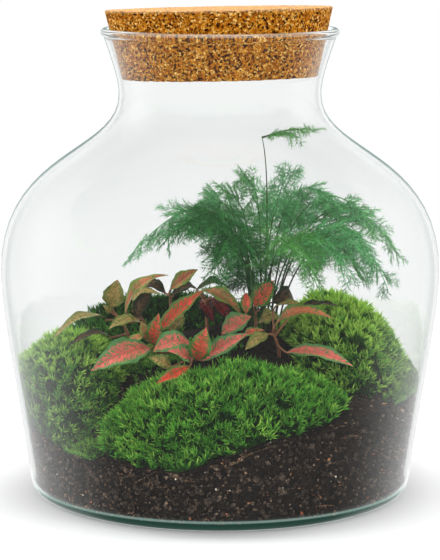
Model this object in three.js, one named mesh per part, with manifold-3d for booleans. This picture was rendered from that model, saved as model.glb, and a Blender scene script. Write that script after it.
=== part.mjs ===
// Glass plant terrarium: a corked glass jar planted with moss, a nerve plant and an asparagus fern.
// Millimetres, +Z up, -Y the front. The origin is the centre of the jar's foot, on the surface it stands on.
import * as THREE from 'three';
import { mergeVertices } from 'three/addons/utils/BufferGeometryUtils.js';
import Module from 'manifold-3d';

const wasm = await Module();
wasm.setup();

// Jar: blown glass, widest at half height, with a waisted neck and a rolled rim.
// Its side is three cubic curves of [radius, height]: heel to belly, belly to neck, neck to rim.
const SIDE_CURVES = [
  [[118.2, 10], [124, 57], [135, 112], [135, 136]],
  [[135, 136], [135, 212], [61.8, 209], [61.8, 246]],
  [[61.8, 246], [61.8, 256], [67.2, 270], [70.8, 281]],
];
const OUTSIDE_STEPS = [4, 7, 3];
const INSIDE_STEPS = [3, 5, 2];
const NECK_HEIGHT = 246;
const FOOT_CORNER = [[108, 0], [116.6, 0], [118.2, 10]];
const FLOOR_CORNER = [[109.5, 3.6], [115, 3.6], [115.6, 12]];
const FLOOR_HEIGHT = 3.6;
const PUNT = [[0, 1.2], [43, 0.8], [72, 0]];
const WALL_GLASS = 2.8;
const NECK_GLASS = 2.3;
const THINNING_HEIGHT = 190;
const RIM_HEIGHT = 286;
const BEAD_RADIUS = 2.4;
const BEAD_CENTRE_RADIUS = 70.2;
const JAR_SEGMENTS = 32;

// Cork stopper: a tapered disc that seats on its lower edge in the neck and leans a little.
const CORK_BOTTOM = 256.2;
const CORK_SIDE = [[0, 0], [59.5, 0], [60.1, 0.8], [69.5, 41], [68.7, 41.8], [0, 41.8]];
const CORK_LEAN = new THREE.Euler(THREE.MathUtils.degToRad(-1.5), THREE.MathUtils.degToRad(-1.05), 0);
const CORK_SEGMENTS = 32;

// Gaps between the pieces.
const GLASS_TO_SOIL = 0.4;
const GLASS_TO_MOSS = 0.6;
const SEAT_GAP = 0.3;

// Soil: its height against the glass at turns round the jar, in degrees from +X, and the hills inside.
const SOIL_EDGE = [
  [-180, 38], [-153, 42], [-120, 35], [-100, 33], [-84, 46], [-68, 54], [-27, 65],
  [20, 70], [60, 78], [100, 80], [140, 66], [180, 38],
];
const SOIL_LEVEL = 60;
const SOIL_HILLS = [
  { at: [5, 5], height: 40, spread: 48 },
  { at: [-82, -8], height: 22, spread: 24 },
  { at: [-5, -72], height: 16, spread: 24 },
];
const SOIL_LUMP = 1.2;
const SOIL_RING_STEP = 20;
const SOIL_RINGS = 7;
const HOLE_DEPTH = 14;
const HOLE_SLACK = 0.4;
const HOLE_CLEARANCE = 10;

// Moss cushions: leaning half ellipsoids with a tuft on every third point of their grid.
const MOSS_GRID_STEP = 8.2;
const MOSS_TUFT = 4.8;
const MOSS_JITTER = 3;
const MOSS_LUMP = 1.8;
const MOSS_SEAM = 1;
const MOSS_SKIRT = 12;
const MOSS_CUSHIONS = [
  { name: 'moss_left', centre: [-98, -10], reach: [48, 66], base: 20, top: 92, slope: [0.2, 0] },
  { name: 'moss_right', centre: [80, 22], reach: [46, 92], base: 40, top: 106, slope: [-0.34, 0.1] },
  { name: 'moss_centre', centre: [6, -62], reach: [88, 62], base: 20, top: 83, slope: [0.05, 0] },
  { name: 'moss_back', centre: [-30, 82], reach: [95, 52], base: 40, top: 101, slope: [0, 0] },
];

// Nerve plant: each shoot has a foot in the soil, a stem top, and leaves given as
// base point, tip point, width, arch above the chord, and the turn of its face from up to the front.
const NERVE_STEM_RADIUS = 1.2;
const PETIOLE_HALF_WIDTH = 0.5;
const LEAF_THICKNESS = 0.9;
const LEAF_CUP = 0.22;
const LEAF_WAVE = 0.05;
// Stations along a leaf: its joint in the stem comes first, then the blade from base to tip.
const LEAF_STATIONS = [null, 0, 0.18, 0.44, 0.76, 1];
const NERVE_SHOOTS = [
  {
    foot: [-54, -4], top: [-62, -6, 108], leaves: [
      [[-67, -4, 114], [-63, -8, 132], 15, 1, 80],
      [[-69, -6, 107], [-101, -34, 100], 9, 8, 18],
      [[-66, -18, 98], [-90, -44, 98], 8, 5, 22],
      [[-49, -14, 107], [-68, -24, 104], 10, 4, 32],
      [[-67, -5, 111], [-72, -8, 116], 5, 1, 70],
    ],
  },
  {
    foot: [-42, 2], top: [-50, -4, 110], leaves: [
      [[-59, 4, 109], [-32, 10, 132], 11, 9, 22],
      [[-54, -9, 113], [-36, -14, 124], 10, 8, 25],
      [[-52, -13, 109], [-42, -9, 127], 10, 3, 60],
    ],
  },
  {
    foot: [-34, -12], top: [-41, -24, 97], leaves: [
      [[-39, -22, 101], [-10, -30, 129], 12, 2, 46],
      [[-41, -28, 96], [-37, -36, 116], 11, 2, 75],
      [[-44, -28, 99], [-56, -36, 93], 8, 5, 22],
      [[-42, -34, 94], [-77, -52, 84], 19, 8, 56],
      [[-31, -20, 102], [-23, -14, 113], 12, 2, 70],
      [[-43, -27, 97], [-48, -30, 110], 8, 1, 75],
    ],
  },
  {
    foot: [-16, -35], top: [-17, -41, 93], leaves: [
      [[-40, -44, 94], [-17, -40, 98], 15, 8, 50],
      [[-14, -50, 90], [-8, -56, 111], 15, 3, 72],
      [[-11, -42, 88], [17, -44, 105], 12, 3, 52],
      [[-19, -50, 89], [-31, -62, 98], 12, 4, 50],
      [[-18, -60, 88], [-37, -84, 83], 9, 1, 66],
      [[-29, -60, 88], [-42, -66, 95], 9, 2, 60],
    ],
  },
  {
    foot: [-8, -2], top: [-9, -3, 119], leaves: [
      [[-12, -6, 125], [13, -14, 111], 12, 6, 32],
      [[-11, 4, 118], [-4, -10, 106], 12, 3, 60],
      [[-5, -4, 120], [7, -20, 108], 12, 3, 55],
      [[-15, 6, 123], [7, 14, 121], 10, 6, 18],
    ],
  },
  {
    foot: [6, -18], top: [4, -26, 100], leaves: [
      [[1, -27, 102], [19, -24, 112], 14, 3, 55],
      [[13, -31, 100], [27, -33, 105], 7, 2, 35],
      [[16, -20, 113], [16, -14, 125], 8, 2, 78],
    ],
  },
  {
    foot: [22, -10], top: [22, -11, 112], leaves: [
      [[21, -12, 116], [33, -12, 132], 15, 2, 65],
      [[32, -8, 118], [46, -6, 117], 14, 8, 55],
      [[24, -17, 107], [37, -20, 110], 12, 3, 40],
    ],
  },
  {
    foot: [36, -24], top: [33, -31, 101], leaves: [
      [[32, -33, 106], [67, -46, 115], 13, 9, 32],
      [[40, -37, 92], [79, -58, 88], 12, 6, 40],
      [[29, -39, 104], [15, -49, 96], 9, 3, 50],
      [[33, -24, 118], [54, -28, 117], 7, 3, 18],
      [[49, -12, 116], [73, -6, 115], 7, 2, 18],
    ],
  },
  {
    foot: [-31, 12], top: [-31, 10, 118], leaves: [
      [[-31, 9, 123], [-14, 14, 135], 10, 2, 50],
      [[-34, 14, 120], [-50, 22, 121], 12, 5, 30],
      [[-30, 14, 118], [-13, 26, 119], 12, 5, 20],
    ],
  },
];

// Asparagus fern: each frond has a foot in the soil and one or two bent stems, given as the
// three further points of a cubic curve, where along it the needles start, and their spread.
const FERN_STEM_RADIUS = 0.8;
const FERN_STEM_STEPS = 6;
const BRANCH_RADIUS = 0.7;
const BRANCH_STEP = 7.6;
const BRANCH_LEAST = 5;
const BRANCH_AHEAD = 0.62;
const BRANCH_ASIDE = 0.78;
const BRANCH_DROOP = 0.25;
const BRANCH_ROLLS = [0.25, -0.8, 0.7, -0.3];
const NEEDLE_RADIUS = 0.45;
const NEEDLE_REACH = 7;
const NEEDLE_STEP = 13;
const FERN_CLEARANCE = 0.4;
const FERN_FRONDS = [
  { foot: [19, 8], curves: [[[19, 6, 168], [-7, -4, 210], [-56, -20, 149], 0.38, 22]] },
  { foot: [20, 4], curves: [[[19, 0, 165], [1, -22, 199], [-34, -40, 159], 0.34, 20]] },
  { foot: [20, 12], curves: [[[20, 13, 169], [2, 16, 211], [-29, 24, 162], 0.4, 18]] },
  { foot: [22, 16], curves: [[[21, 18, 169], [14, 28, 198], [-7, 40, 184], 0.4, 15]] },
  { foot: [26, 17], curves: [[[25, 19, 167], [27, 22, 199], [13, 26, 198], 0.36, 15]] },
  { foot: [28, 7], curves: [[[27, 4, 164], [36, 0, 197], [44, -6, 206], 0.42, 13]] },
  { foot: [30, 15], curves: [[[30, 18, 164], [44, 24, 214], [72, 34, 181], 0.38, 19]] },
  { foot: [32, 10], curves: [[[32, 10, 157], [57, 6, 221], [94, 2, 170], 0.36, 19]] },
  { foot: [34, 13], curves: [[[36, 14, 154], [73, 22, 217], [114, 26, 140], 0.38, 20]] },
  { foot: [34, 6], curves: [[[36, 2, 152], [74, -8, 212], [103, -16, 126], 0.42, 19]] },
  { foot: [36, 9], curves: [[[40, 9, 140], [71, 8, 179], [91, 10, 137], 0.42, 16]] },
  { foot: [31, 2], curves: [[[33, -2, 148], [59, -26, 192], [78, -42, 135], 0.4, 17]] },
  { foot: [27, 1], curves: [[[28, -4, 150], [43, -34, 191], [55, -52, 141], 0.4, 17]] },
  { foot: [27, 12], curves: [[[30, 10, 170], [30, 10, 198], [26, 10, 216], 1, 0],
    [[28, 9, 215], [43, 7, 224], [59, 5, 220], 0.15, 9]] },
  { foot: [29, 20], curves: [[[26, 26, 155], [34, 52, 198], [48, 72, 161], 0.36, 20]] },
  { foot: [21, 20], curves: [[[18, 26, 155], [13, 46, 197], [-8, 66, 149], 0.36, 20]] },
  { foot: [23, 3], curves: [[[20, -2, 153], [10, -28, 190], [-5, -46, 137], 0.36, 18]] },
];

const COLOURS = {
  glass: { color: 0xe6efec, roughness: 0.05, metalness: 0, transparent: true, opacity: 0.3 },
  cork: { color: 0xb98a57, roughness: 0.9, metalness: 0 },
  soil: { color: 0x33261d, roughness: 1, metalness: 0 },
  moss: { color: 0x5f8a2a, roughness: 0.95, metalness: 0 },
  nerveLeaf: { color: 0xb2483c, roughness: 0.5, metalness: 0 },
  fern: { color: 0x2f7a4c, roughness: 0.6, metalness: 0 },
};

// Solids: conversions between three.js geometry and closed solids.

function solidOf(geometry) {
  const bare = geometry.clone();
  bare.deleteAttribute('normal');
  bare.deleteAttribute('uv');
  const merged = mergeVertices(bare, 1e-4);
  const corners = merged.index.array;
  const faces = [];
  for (let i = 0; i < corners.length; i += 3) {
    const [a, b, c] = [corners[i], corners[i + 1], corners[i + 2]];
    if (a !== b && b !== c && c !== a) faces.push(a, b, c);
  }
  return new wasm.Manifold(new wasm.Mesh({
    numProp: 3,
    vertProperties: Float32Array.from(merged.attributes.position.array),
    triVerts: Uint32Array.from(faces),
  }));
}

function geometryOf(solid) {
  const mesh = solid.getMesh();
  const geometry = new THREE.BufferGeometry();
  geometry.setAttribute('position', new THREE.BufferAttribute(Float32Array.from(mesh.vertProperties), 3));
  geometry.setIndex(new THREE.BufferAttribute(Uint32Array.from(mesh.triVerts), 1));
  geometry.computeVertexNormals();
  return geometry;
}

// A boolean can leave small loose scraps: only the main body is kept.
function mainBody(solid) {
  return solid.decompose().reduce((largest, body) => (body.volume() > largest.volume() ? body : largest));
}

function joined(solids) {
  return solids.reduce((whole, solid) => whole.add(solid));
}

function named(name, geometry, colour) {
  const mesh = new THREE.Mesh(geometry, new THREE.MeshStandardMaterial(colour));
  mesh.name = name;
  return mesh;
}

// A profile of [radius, height] points turned about the Z axis.
function turned(profile, segments) {
  return new THREE.LatheGeometry(flatPoints(profile), segments).rotateX(Math.PI / 2);
}

// A repeatable value from 0 to 1 for a pair of whole numbers.
function scatter(i, j) {
  const wave = Math.sin(i * 127.1 + j * 311.7 + 17.3) * 43758.5453;
  return wave - Math.floor(wave);
}

function vector(point) {
  return new THREE.Vector3(point[0], point[1], point[2]);
}

// Jar

function flatPoints(points) {
  return points.map(([radius, height]) => new THREE.Vector2(radius, height));
}

// Outside points are the curves themselves; inside points lie one glass thickness in from them.
function sidePoints(inwards) {
  const points = [];
  SIDE_CURVES.forEach((corners, part) => {
    const curve = new THREE.CubicBezierCurve(...flatPoints(corners));
    const steps = (inwards ? INSIDE_STEPS : OUTSIDE_STEPS)[part];
    for (let i = part === 0 ? 0 : 1; i <= steps; i += 1) {
      const t = i / steps;
      const { x, y } = curve.getPoint(t);
      const tangent = curve.getTangent(t);
      const towardsNeck = THREE.MathUtils.smoothstep(y, THINNING_HEIGHT, NECK_HEIGHT);
      const glass = inwards ? THREE.MathUtils.lerp(WALL_GLASS, NECK_GLASS, towardsNeck) : 0;
      points.push([x - tangent.y * glass, y + tangent.x * glass]);
    }
  });
  return points;
}

function cornerPoints(corners, steps) {
  return new THREE.QuadraticBezierCurve(...flatPoints(corners)).getPoints(steps).map(({ x, y }) => [x, y]);
}

// The inside of the jar from the centre of its floor up to the rim, drawn in by a gap.
function insideProfile(gap) {
  const corner = cornerPoints(FLOOR_CORNER, 2);
  const [, cornerTop] = FLOOR_CORNER[2];
  const wall = sidePoints(true).filter(([, z]) => z > cornerTop);
  return [
    [0, FLOOR_HEIGHT + gap],
    ...corner.map(([r, z]) => [r - gap, z < cornerTop ? z + gap : z]),
    ...wall.map(([r, z]) => [r - gap, z]),
  ];
}

function beadPoints() {
  const points = [];
  for (let turn = -45; turn <= 180; turn += 45) {
    const angle = THREE.MathUtils.degToRad(turn);
    const r = BEAD_CENTRE_RADIUS + BEAD_RADIUS * Math.cos(angle);
    points.push([r, RIM_HEIGHT - BEAD_RADIUS + BEAD_RADIUS * Math.sin(angle)]);
  }
  return points;
}

function glassJar() {
  const outside = [...cornerPoints(FOOT_CORNER, 3), ...sidePoints(false).slice(1)];
  const profile = [...PUNT, ...outside, ...beadPoints(), ...insideProfile(0).reverse()];
  return named('glass_jar', geometryOf(solidOf(turned(profile, JAR_SEGMENTS))), COLOURS.glass);
}

// The room inside the jar, up to the neck, as a solid that trims the filling to the glass.
function room(gap) {
  const profile = insideProfile(gap).filter(([, z]) => z < NECK_HEIGHT);
  return solidOf(turned([...profile, [0, profile[profile.length - 1][1]]], JAR_SEGMENTS));
}

function corkStopper() {
  const cork = named('cork_stopper', geometryOf(solidOf(turned(CORK_SIDE, CORK_SEGMENTS))), COLOURS.cork);
  cork.position.z = CORK_BOTTOM;
  cork.rotation.copy(CORK_LEAN);
  return cork;
}

// Soil

function soilEdgeHeight(x, y) {
  const turn = THREE.MathUtils.radToDeg(Math.atan2(y, x));
  const after = Math.max(1, SOIL_EDGE.findIndex(([at]) => at >= turn));
  const [[fromTurn, fromHeight], [toTurn, toHeight]] = [SOIL_EDGE[after - 1], SOIL_EDGE[after]];
  const share = (1 - Math.cos(((turn - fromTurn) / (toTurn - fromTurn)) * Math.PI)) / 2;
  return fromHeight + (toHeight - fromHeight) * share;
}

function soilHeight(x, y) {
  const outwards = Math.min(1, (x * x + y * y) / 120 ** 2);
  let height = SOIL_LEVEL + (soilEdgeHeight(x, y) - SOIL_LEVEL) * outwards;
  for (const { at, height: rise, spread } of SOIL_HILLS) {
    const away = (x - at[0]) ** 2 + (y - at[1]) ** 2;
    height += rise * Math.exp(-away / (2 * spread ** 2));
  }
  return height + SOIL_LUMP * Math.sin(x / 7.3 + 1) * Math.sin(y / 6.1 - x / 19);
}

// A hole for a stem, open at the top: it runs on above the soil by a clearance.
function stemHole([x, y], radius, sides) {
  const wide = radius + HOLE_SLACK;
  const hole = new THREE.CylinderGeometry(wide, wide, HOLE_DEPTH + HOLE_CLEARANCE, sides);
  const middle = soilHeight(x, y) + (HOLE_CLEARANCE - HOLE_DEPTH) / 2;
  return solidOf(hole.rotateX(Math.PI / 2).translate(x, y, middle));
}

function pottingSoil() {
  const reach = SOIL_RING_STEP * SOIL_RINGS;
  const profile = [[0, 0], [reach, 0]];
  for (let radius = reach; radius > 0; radius -= SOIL_RING_STEP) profile.push([radius, SOIL_LEVEL]);
  profile.push([0, SOIL_LEVEL]);
  const geometry = turned(profile, JAR_SEGMENTS);
  const { position } = geometry.attributes;
  for (let i = 0; i < position.count; i += 1) {
    if (position.getZ(i) > 1) position.setZ(i, soilHeight(position.getX(i), position.getY(i)));
  }
  const block = solidOf(geometry).intersect(room(GLASS_TO_SOIL));
  const holes = [
    ...NERVE_SHOOTS.map(({ foot }) => stemHole(foot, NERVE_STEM_RADIUS, 6)),
    ...FERN_FRONDS.map(({ foot }) => stemHole(foot, FERN_STEM_RADIUS, 4)),
  ];
  return { whole: block, planted: mainBody(block.subtract(joined(holes))) };
}

// Moss

function cushionHeight({ centre, reach, base, top, slope }, x, y) {
  const [dx, dy] = [x - centre[0], y - centre[1]];
  const inside = 1 - (dx / reach[0]) ** 2 - (dy / reach[1]) ** 2;
  if (inside <= 0) return base;
  return base + (top - base) * Math.sqrt(inside) + slope[0] * dx + slope[1] * dy;
}

function mossCushion(cushion) {
  const { centre, reach, base } = cushion;
  const [across, along] = reach.map((half) => Math.round((2 * half) / MOSS_GRID_STEP));
  const geometry = new THREE.BoxGeometry(2 * reach[0], 2 * reach[1], 2, across, along, 1);
  const { position } = geometry.attributes;
  for (let k = 0; k < position.count; k += 1) {
    const i = Math.round((position.getX(k) / reach[0] + 1) * across / 2);
    const j = Math.round((position.getY(k) / reach[1] + 1) * along / 2);
    const x = centre[0] + position.getX(k) + (scatter(i, j + 90) - 0.5) * MOSS_JITTER;
    const y = centre[1] + position.getY(k) + (scatter(i + 90, j) - 0.5) * MOSS_JITTER;
    let z = base - MOSS_SKIRT;
    if (position.getZ(k) > 0) {
      const tuft = (i + j) % 3 ? 0 : MOSS_TUFT * (0.7 + 0.6 * scatter(i, j));
      z = cushionHeight(cushion, x, y) + tuft + MOSS_LUMP * Math.sin(x / 8.5) * Math.cos(y / 9.5);
    }
    position.setXYZ(k, x, y, z);
  }
  return solidOf(geometry);
}

// The space that a cushion takes with its tufts, which the cushions beside it keep out of.
function cushionSpace({ centre, reach, base, top, slope }) {
  const rise = top - base + 1.3 * MOSS_TUFT + MOSS_LUMP + MOSS_SEAM;
  const geometry = new THREE.SphereGeometry(1, 28, 14).rotateX(Math.PI / 2);
  const { position } = geometry.attributes;
  for (let k = 0; k < position.count; k += 1) {
    const dx = position.getX(k) * (reach[0] + MOSS_SEAM + 1);
    const dy = position.getY(k) * (reach[1] + MOSS_SEAM + 1);
    const dz = position.getZ(k) * rise + slope[0] * dx + slope[1] * dy;
    position.setXYZ(k, centre[0] + dx, centre[1] + dy, base + dz);
  }
  return solidOf(geometry);
}

function mossCushions(soil) {
  const bed = soil.translate([0, 0, SEAT_GAP]);
  const jarRoom = room(GLASS_TO_MOSS);
  return MOSS_CUSHIONS.map((cushion, order) => {
    let solid = mossCushion(cushion).intersect(jarRoom).subtract(bed);
    for (const earlier of MOSS_CUSHIONS.slice(0, order)) solid = solid.subtract(cushionSpace(earlier));
    return named(cushion.name, geometryOf(mainBody(solid)), COLOURS.moss);
  });
}

// Stems and spikes

// A curve that steps exactly from point to point, whatever their spacing.
class EvenCurve extends THREE.CatmullRomCurve3 {
  getPointAt(t, target) {
    return this.getPoint(t, target);
  }

  getTangentAt(t, target) {
    return this.getTangent(t, target);
  }
}

function stemAlong(points, radius, sides) {
  const outline = new THREE.Shape();
  for (let i = 0; i < sides; i += 1) {
    const angle = (i / sides) * 2 * Math.PI;
    outline[i ? 'lineTo' : 'moveTo'](radius * Math.cos(angle), radius * Math.sin(angle));
  }
  outline.closePath();
  return solidOf(new THREE.ExtrudeGeometry(outline, {
    steps: points.length - 1, extrudePath: new EvenCurve(points), bevelEnabled: false,
  }));
}

// A cone or rod from one point towards another.
function rod(from, to, fromRadius, toRadius, sides) {
  const middle = from.clone().lerp(to, 0.5);
  const along = to.clone().sub(from);
  const shape = new THREE.CylinderGeometry(toRadius, fromRadius, along.length(), sides);
  const turn = new THREE.Quaternion().setFromUnitVectors(new THREE.Vector3(0, 1, 0), along.normalize());
  return solidOf(shape.applyQuaternion(turn).translate(middle.x, middle.y, middle.z));
}

// Two needles that leave a branch on opposite sides: one three-sided spindle, thickest at its middle.
function needlePair(from, to, radius) {
  const middle = from.clone().lerp(to, 0.5);
  const along = to.clone().sub(from);
  const spindle = new THREE.LatheGeometry([[0, -0.5], [radius, 0], [0, 0.5]].map(
    ([r, share]) => new THREE.Vector2(r, share * along.length())), 3);
  const turn = new THREE.Quaternion().setFromUnitVectors(new THREE.Vector3(0, 1, 0), along.normalize());
  return solidOf(spindle.applyQuaternion(turn).translate(middle.x, middle.y, middle.z));
}

// A stem stands just above the bottom of its hole and comes out straight.
function footPoints([x, y]) {
  const top = soilHeight(x, y);
  return [new THREE.Vector3(x, y, top - HOLE_DEPTH + SEAT_GAP), new THREE.Vector3(x, y, top + 1)];
}

// Nerve plant

function leafHalfWidth(t, width) {
  return Math.max(PETIOLE_HALF_WIDTH, (width / 2) * Math.sin(Math.PI * t ** 0.86) ** 0.85);
}

// A leaf is one strip: a narrow stalk from its joint, then a blade with a sunk rib and raised,
// waved margins. Both faces are split into triangles alike.
function leafStrip([from, to, width, arch, faceTurn], joint) {
  const base = vector(from);
  const along = vector(to).sub(base);
  const facing = THREE.MathUtils.degToRad(faceTurn);
  const across = new THREE.Vector3(0, -Math.sin(facing), Math.cos(facing)).cross(along).normalize();
  const upwards = along.clone().normalize().cross(across);
  const stalk = base.clone().sub(joint).normalize();
  const positions = [];
  for (const face of [0.5, -0.5]) {
    LEAF_STATIONS.forEach((station, order) => {
      const t = station ?? 0;
      const half = leafHalfWidth(t, width);
      const ahead = along.clone().normalize().multiplyScalar(order ? 1 : 0);
      if (order < 2) ahead.add(stalk).normalize();
      const side = across.clone().addScaledVector(ahead, -across.dot(ahead)).normalize();
      const outwards = ahead.clone().cross(side).multiplyScalar(face * LEAF_THICKNESS);
      const middle = (station === null ? joint : base).clone().addScaledVector(along, t);
      middle.addScaledVector(upwards, arch * 4 * t * (1 - t)).add(outwards);
      for (const edge of [-1, 0, 1]) {
        const wave = edge * LEAF_WAVE * width * (order % 2 ? 1 : -1) * Math.sin(Math.PI * t);
        const lift = Math.abs(edge) * LEAF_CUP * half + wave;
        const point = middle.clone().addScaledVector(side, edge * half).addScaledVector(upwards, lift);
        positions.push(...point.toArray());
      }
    });
  }
  const faces = [];
  const lower = LEAF_STATIONS.length * 3;
  const quad = (a, b, c, d) => faces.push(a, b, c, a, c, d);
  for (let station = 0; station < LEAF_STATIONS.length - 1; station += 1) {
    const row = station * 3;
    for (const k of [row, row + 1]) {
      quad(k, k + 3, k + 4, k + 1);
      faces.push(k + lower, k + 4 + lower, k + 3 + lower, k + lower, k + 1 + lower, k + 4 + lower);
    }
    quad(row, row + lower, row + 3 + lower, row + 3);
    quad(row + 2, row + 5, row + 5 + lower, row + 2 + lower);
  }
  const end = lower - 3;
  for (const k of [0, 1]) {
    quad(k, k + 1, k + 1 + lower, k + lower);
    quad(end + k, end + k + lower, end + k + 1 + lower, end + k + 1);
  }
  const geometry = new THREE.BufferGeometry();
  geometry.setAttribute('position', new THREE.Float32BufferAttribute(positions, 3));
  geometry.setIndex(faces);
  const solid = solidOf(geometry);
  return solid.volume() < 0 ? solidOf(flipped(geometry)) : solid;
}

function flipped(geometry) {
  const turnedOver = geometry.clone();
  const { array } = turnedOver.index;
  for (let i = 0; i < array.length; i += 3) [array[i], array[i + 1]] = [array[i + 1], array[i]];
  return turnedOver;
}

function nerveShoot({ foot, top, leaves }, order) {
  const [low, surface] = footPoints(foot);
  const crown = vector(top);
  const bend = surface.clone().lerp(crown, 0.5).setX((foot[0] * 2 + top[0]) / 3);
  const pieces = [stemAlong([low, surface, bend, crown], NERVE_STEM_RADIUS, 6)];
  for (const leaf of leaves) {
    const share = THREE.MathUtils.clamp((leaf[0][2] - 2 - bend.z) / (crown.z - bend.z), 0.1, 0.95);
    pieces.push(leafStrip(leaf, bend.clone().lerp(crown, share)));
  }
  return named(`nerve_shoot_${order + 1}`, geometryOf(mainBody(joined(pieces))), COLOURS.nerveLeaf);
}

// Asparagus fern. Each spike is kept as a [from, to, radius] line, so that later ones can stay clear of it.

function lineGap([a, b], [c, d]) {
  const [u, v, w] = [b.clone().sub(a), d.clone().sub(c), a.clone().sub(c)];
  const [uu, uv, vv, uw, vw] = [u.dot(u), u.dot(v), v.dot(v), u.dot(w), v.dot(w)];
  const spread = uu * vv - uv * uv;
  let s = spread > 1e-9 ? THREE.MathUtils.clamp((uv * vw - vv * uw) / spread, 0, 1) : 0;
  const t = THREE.MathUtils.clamp((uv * s + vw) / vv, 0, 1);
  s = THREE.MathUtils.clamp((uv * t - uw) / uu, 0, 1);
  return w.addScaledVector(u, s).addScaledVector(v, -t).length();
}

function clearOf(line, others) {
  return others.every((other) => lineGap(line, other) > line[2] + other[2] + FERN_CLEARANCE);
}

// Side branches leave the stem left and right in turn, and needles leave each branch the same way.
function sprayLines(curve, leafFrom, spread, seed, others) {
  const lines = [];
  const leafy = curve.getLength() * (1 - leafFrom);
  const count = Math.round(leafy / BRANCH_STEP);
  const up = new THREE.Vector3(0, 0, 1);
  for (let k = 0; k < count; k += 1) {
    const u = (k + 0.5) / count;
    const t = leafFrom + (1 - leafFrom) * u;
    const start = curve.getPoint(t);
    const ahead = curve.getTangent(t);
    const hand = k % 2 ? 1 : -1;
    const side = ahead.clone().cross(up).normalize().multiplyScalar(hand);
    side.applyAxisAngle(ahead, hand * BRANCH_ROLLS[Math.floor(k / 2) % BRANCH_ROLLS.length]);
    const length = spread * (1 - u) ** 0.5 * (0.55 + 0.45 * Math.min(1, u / 0.25)) + BRANCH_LEAST;
    const heading = ahead.clone().multiplyScalar(BRANCH_AHEAD).addScaledVector(side, BRANCH_ASIDE);
    heading.addScaledVector(up, -BRANCH_DROOP * scatter(seed, k)).normalize();
    const branch = [start, start.clone().addScaledVector(heading, length), BRANCH_RADIUS];
    if (!clearOf(branch, others)) continue;
    lines.push(branch);
    const needles = Math.floor(length / NEEDLE_STEP);
    for (let m = 0; m < needles; m += 1) {
      const root = start.clone().addScaledVector(heading, (length * (m + 0.7)) / (needles + 0.3));
      const needle = ahead.clone().addScaledVector(heading, 0.6 * scatter(seed + k, m) - 0.4);
      needle.addScaledVector(up, 0.7 * scatter(seed + m, k) - 0.35).normalize();
      const reach = NEEDLE_REACH * (0.8 + 0.4 * scatter(k, seed + m));
      const ends = [-reach, reach].map((far) => root.clone().addScaledVector(needle, far));
      const pair = [...ends, NEEDLE_RADIUS, root];
      if (clearOf(pair, others)) lines.push(pair);
    }
  }
  return lines;
}

function fernFronds() {
  const stems = FERN_FRONDS.map(({ foot, curves }) => {
    const [low, surface] = footPoints(foot);
    let start = surface;
    return curves.map(([first, second, end, leafFrom, spread], part) => {
      const curve = new THREE.CubicBezierCurve3(start, vector(first), vector(second), vector(end));
      start = curve.v3;
      const points = curve.getPoints(FERN_STEM_STEPS);
      return { curve, points: part ? points : [low, ...points], leafFrom, spread };
    });
  });
  const stemLines = stems.map((parts) => parts.flatMap(({ points }) => points.slice(1).map(
    (point, i) => [points[i], point, FERN_STEM_RADIUS])));
  const sprays = [];
  stems.forEach((parts, order) => {
    const others = [...stemLines.filter((_, i) => i !== order).flat(), ...sprays.flat()];
    sprays.push(parts.flatMap(({ curve, leafFrom, spread }, part) => (
      sprayLines(curve, leafFrom, spread, order * 7 + part, others))));
  });
  return stems.map((parts, order) => {
    const pieces = parts.map(({ points }) => stemAlong(points, FERN_STEM_RADIUS, 4));
    for (const [from, to, radius, root] of sprays[order]) {
      pieces.push(root ? needlePair(from, to, radius) : rod(from, to, radius, 0, 3));
    }
    const name = `fern_frond_${String(order + 1).padStart(2, '0')}`;
    return named(name, geometryOf(mainBody(joined(pieces))), COLOURS.fern);
  });
}

const soil = pottingSoil();
const terrarium = new THREE.Group();
terrarium.add(glassJar(), corkStopper(), named('potting_soil', geometryOf(soil.planted), COLOURS.soil));
terrarium.add(...mossCushions(soil.whole));
terrarium.add(...NERVE_SHOOTS.map(nerveShoot));
terrarium.add(...fernFronds());
export default terrarium;
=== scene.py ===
"""Looks for the glass plant terrarium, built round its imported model.

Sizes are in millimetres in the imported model's frame. Each mesh is scaled to metres as it is made.
"""

import logging
import math
from dataclasses import dataclass, field
from enum import Enum
from itertools import combinations
from typing import Any

import bpy
import numpy as np
from mathutils import Matrix, Vector, noise


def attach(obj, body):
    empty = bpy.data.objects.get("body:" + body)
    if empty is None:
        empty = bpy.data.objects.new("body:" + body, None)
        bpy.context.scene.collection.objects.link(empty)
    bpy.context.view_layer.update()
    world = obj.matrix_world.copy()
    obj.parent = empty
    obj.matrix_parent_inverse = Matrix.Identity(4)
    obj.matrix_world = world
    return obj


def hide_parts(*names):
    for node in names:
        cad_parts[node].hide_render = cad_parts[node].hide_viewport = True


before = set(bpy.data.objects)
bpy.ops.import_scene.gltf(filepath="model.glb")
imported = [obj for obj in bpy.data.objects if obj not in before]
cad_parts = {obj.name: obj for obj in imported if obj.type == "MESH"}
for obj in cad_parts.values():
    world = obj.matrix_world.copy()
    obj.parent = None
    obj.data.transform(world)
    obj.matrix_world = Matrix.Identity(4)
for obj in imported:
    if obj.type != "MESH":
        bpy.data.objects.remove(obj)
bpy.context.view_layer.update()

log = logging.getLogger("terrarium")

MM = 0.001
BODY = "root"
UP = np.array([0.0, 0.0, 1.0])
WIDEST_AT = 0.4

Colour = tuple[float, float, float, float]
Spot = tuple[float, float, float]
Span = tuple[float, float]
Points = np.ndarray
Pair = tuple[np.ndarray, np.ndarray]
Rng = np.random.Generator
Material = bpy.types.Material
Object = bpy.types.Object


# Numbers, curves and directions


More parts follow.
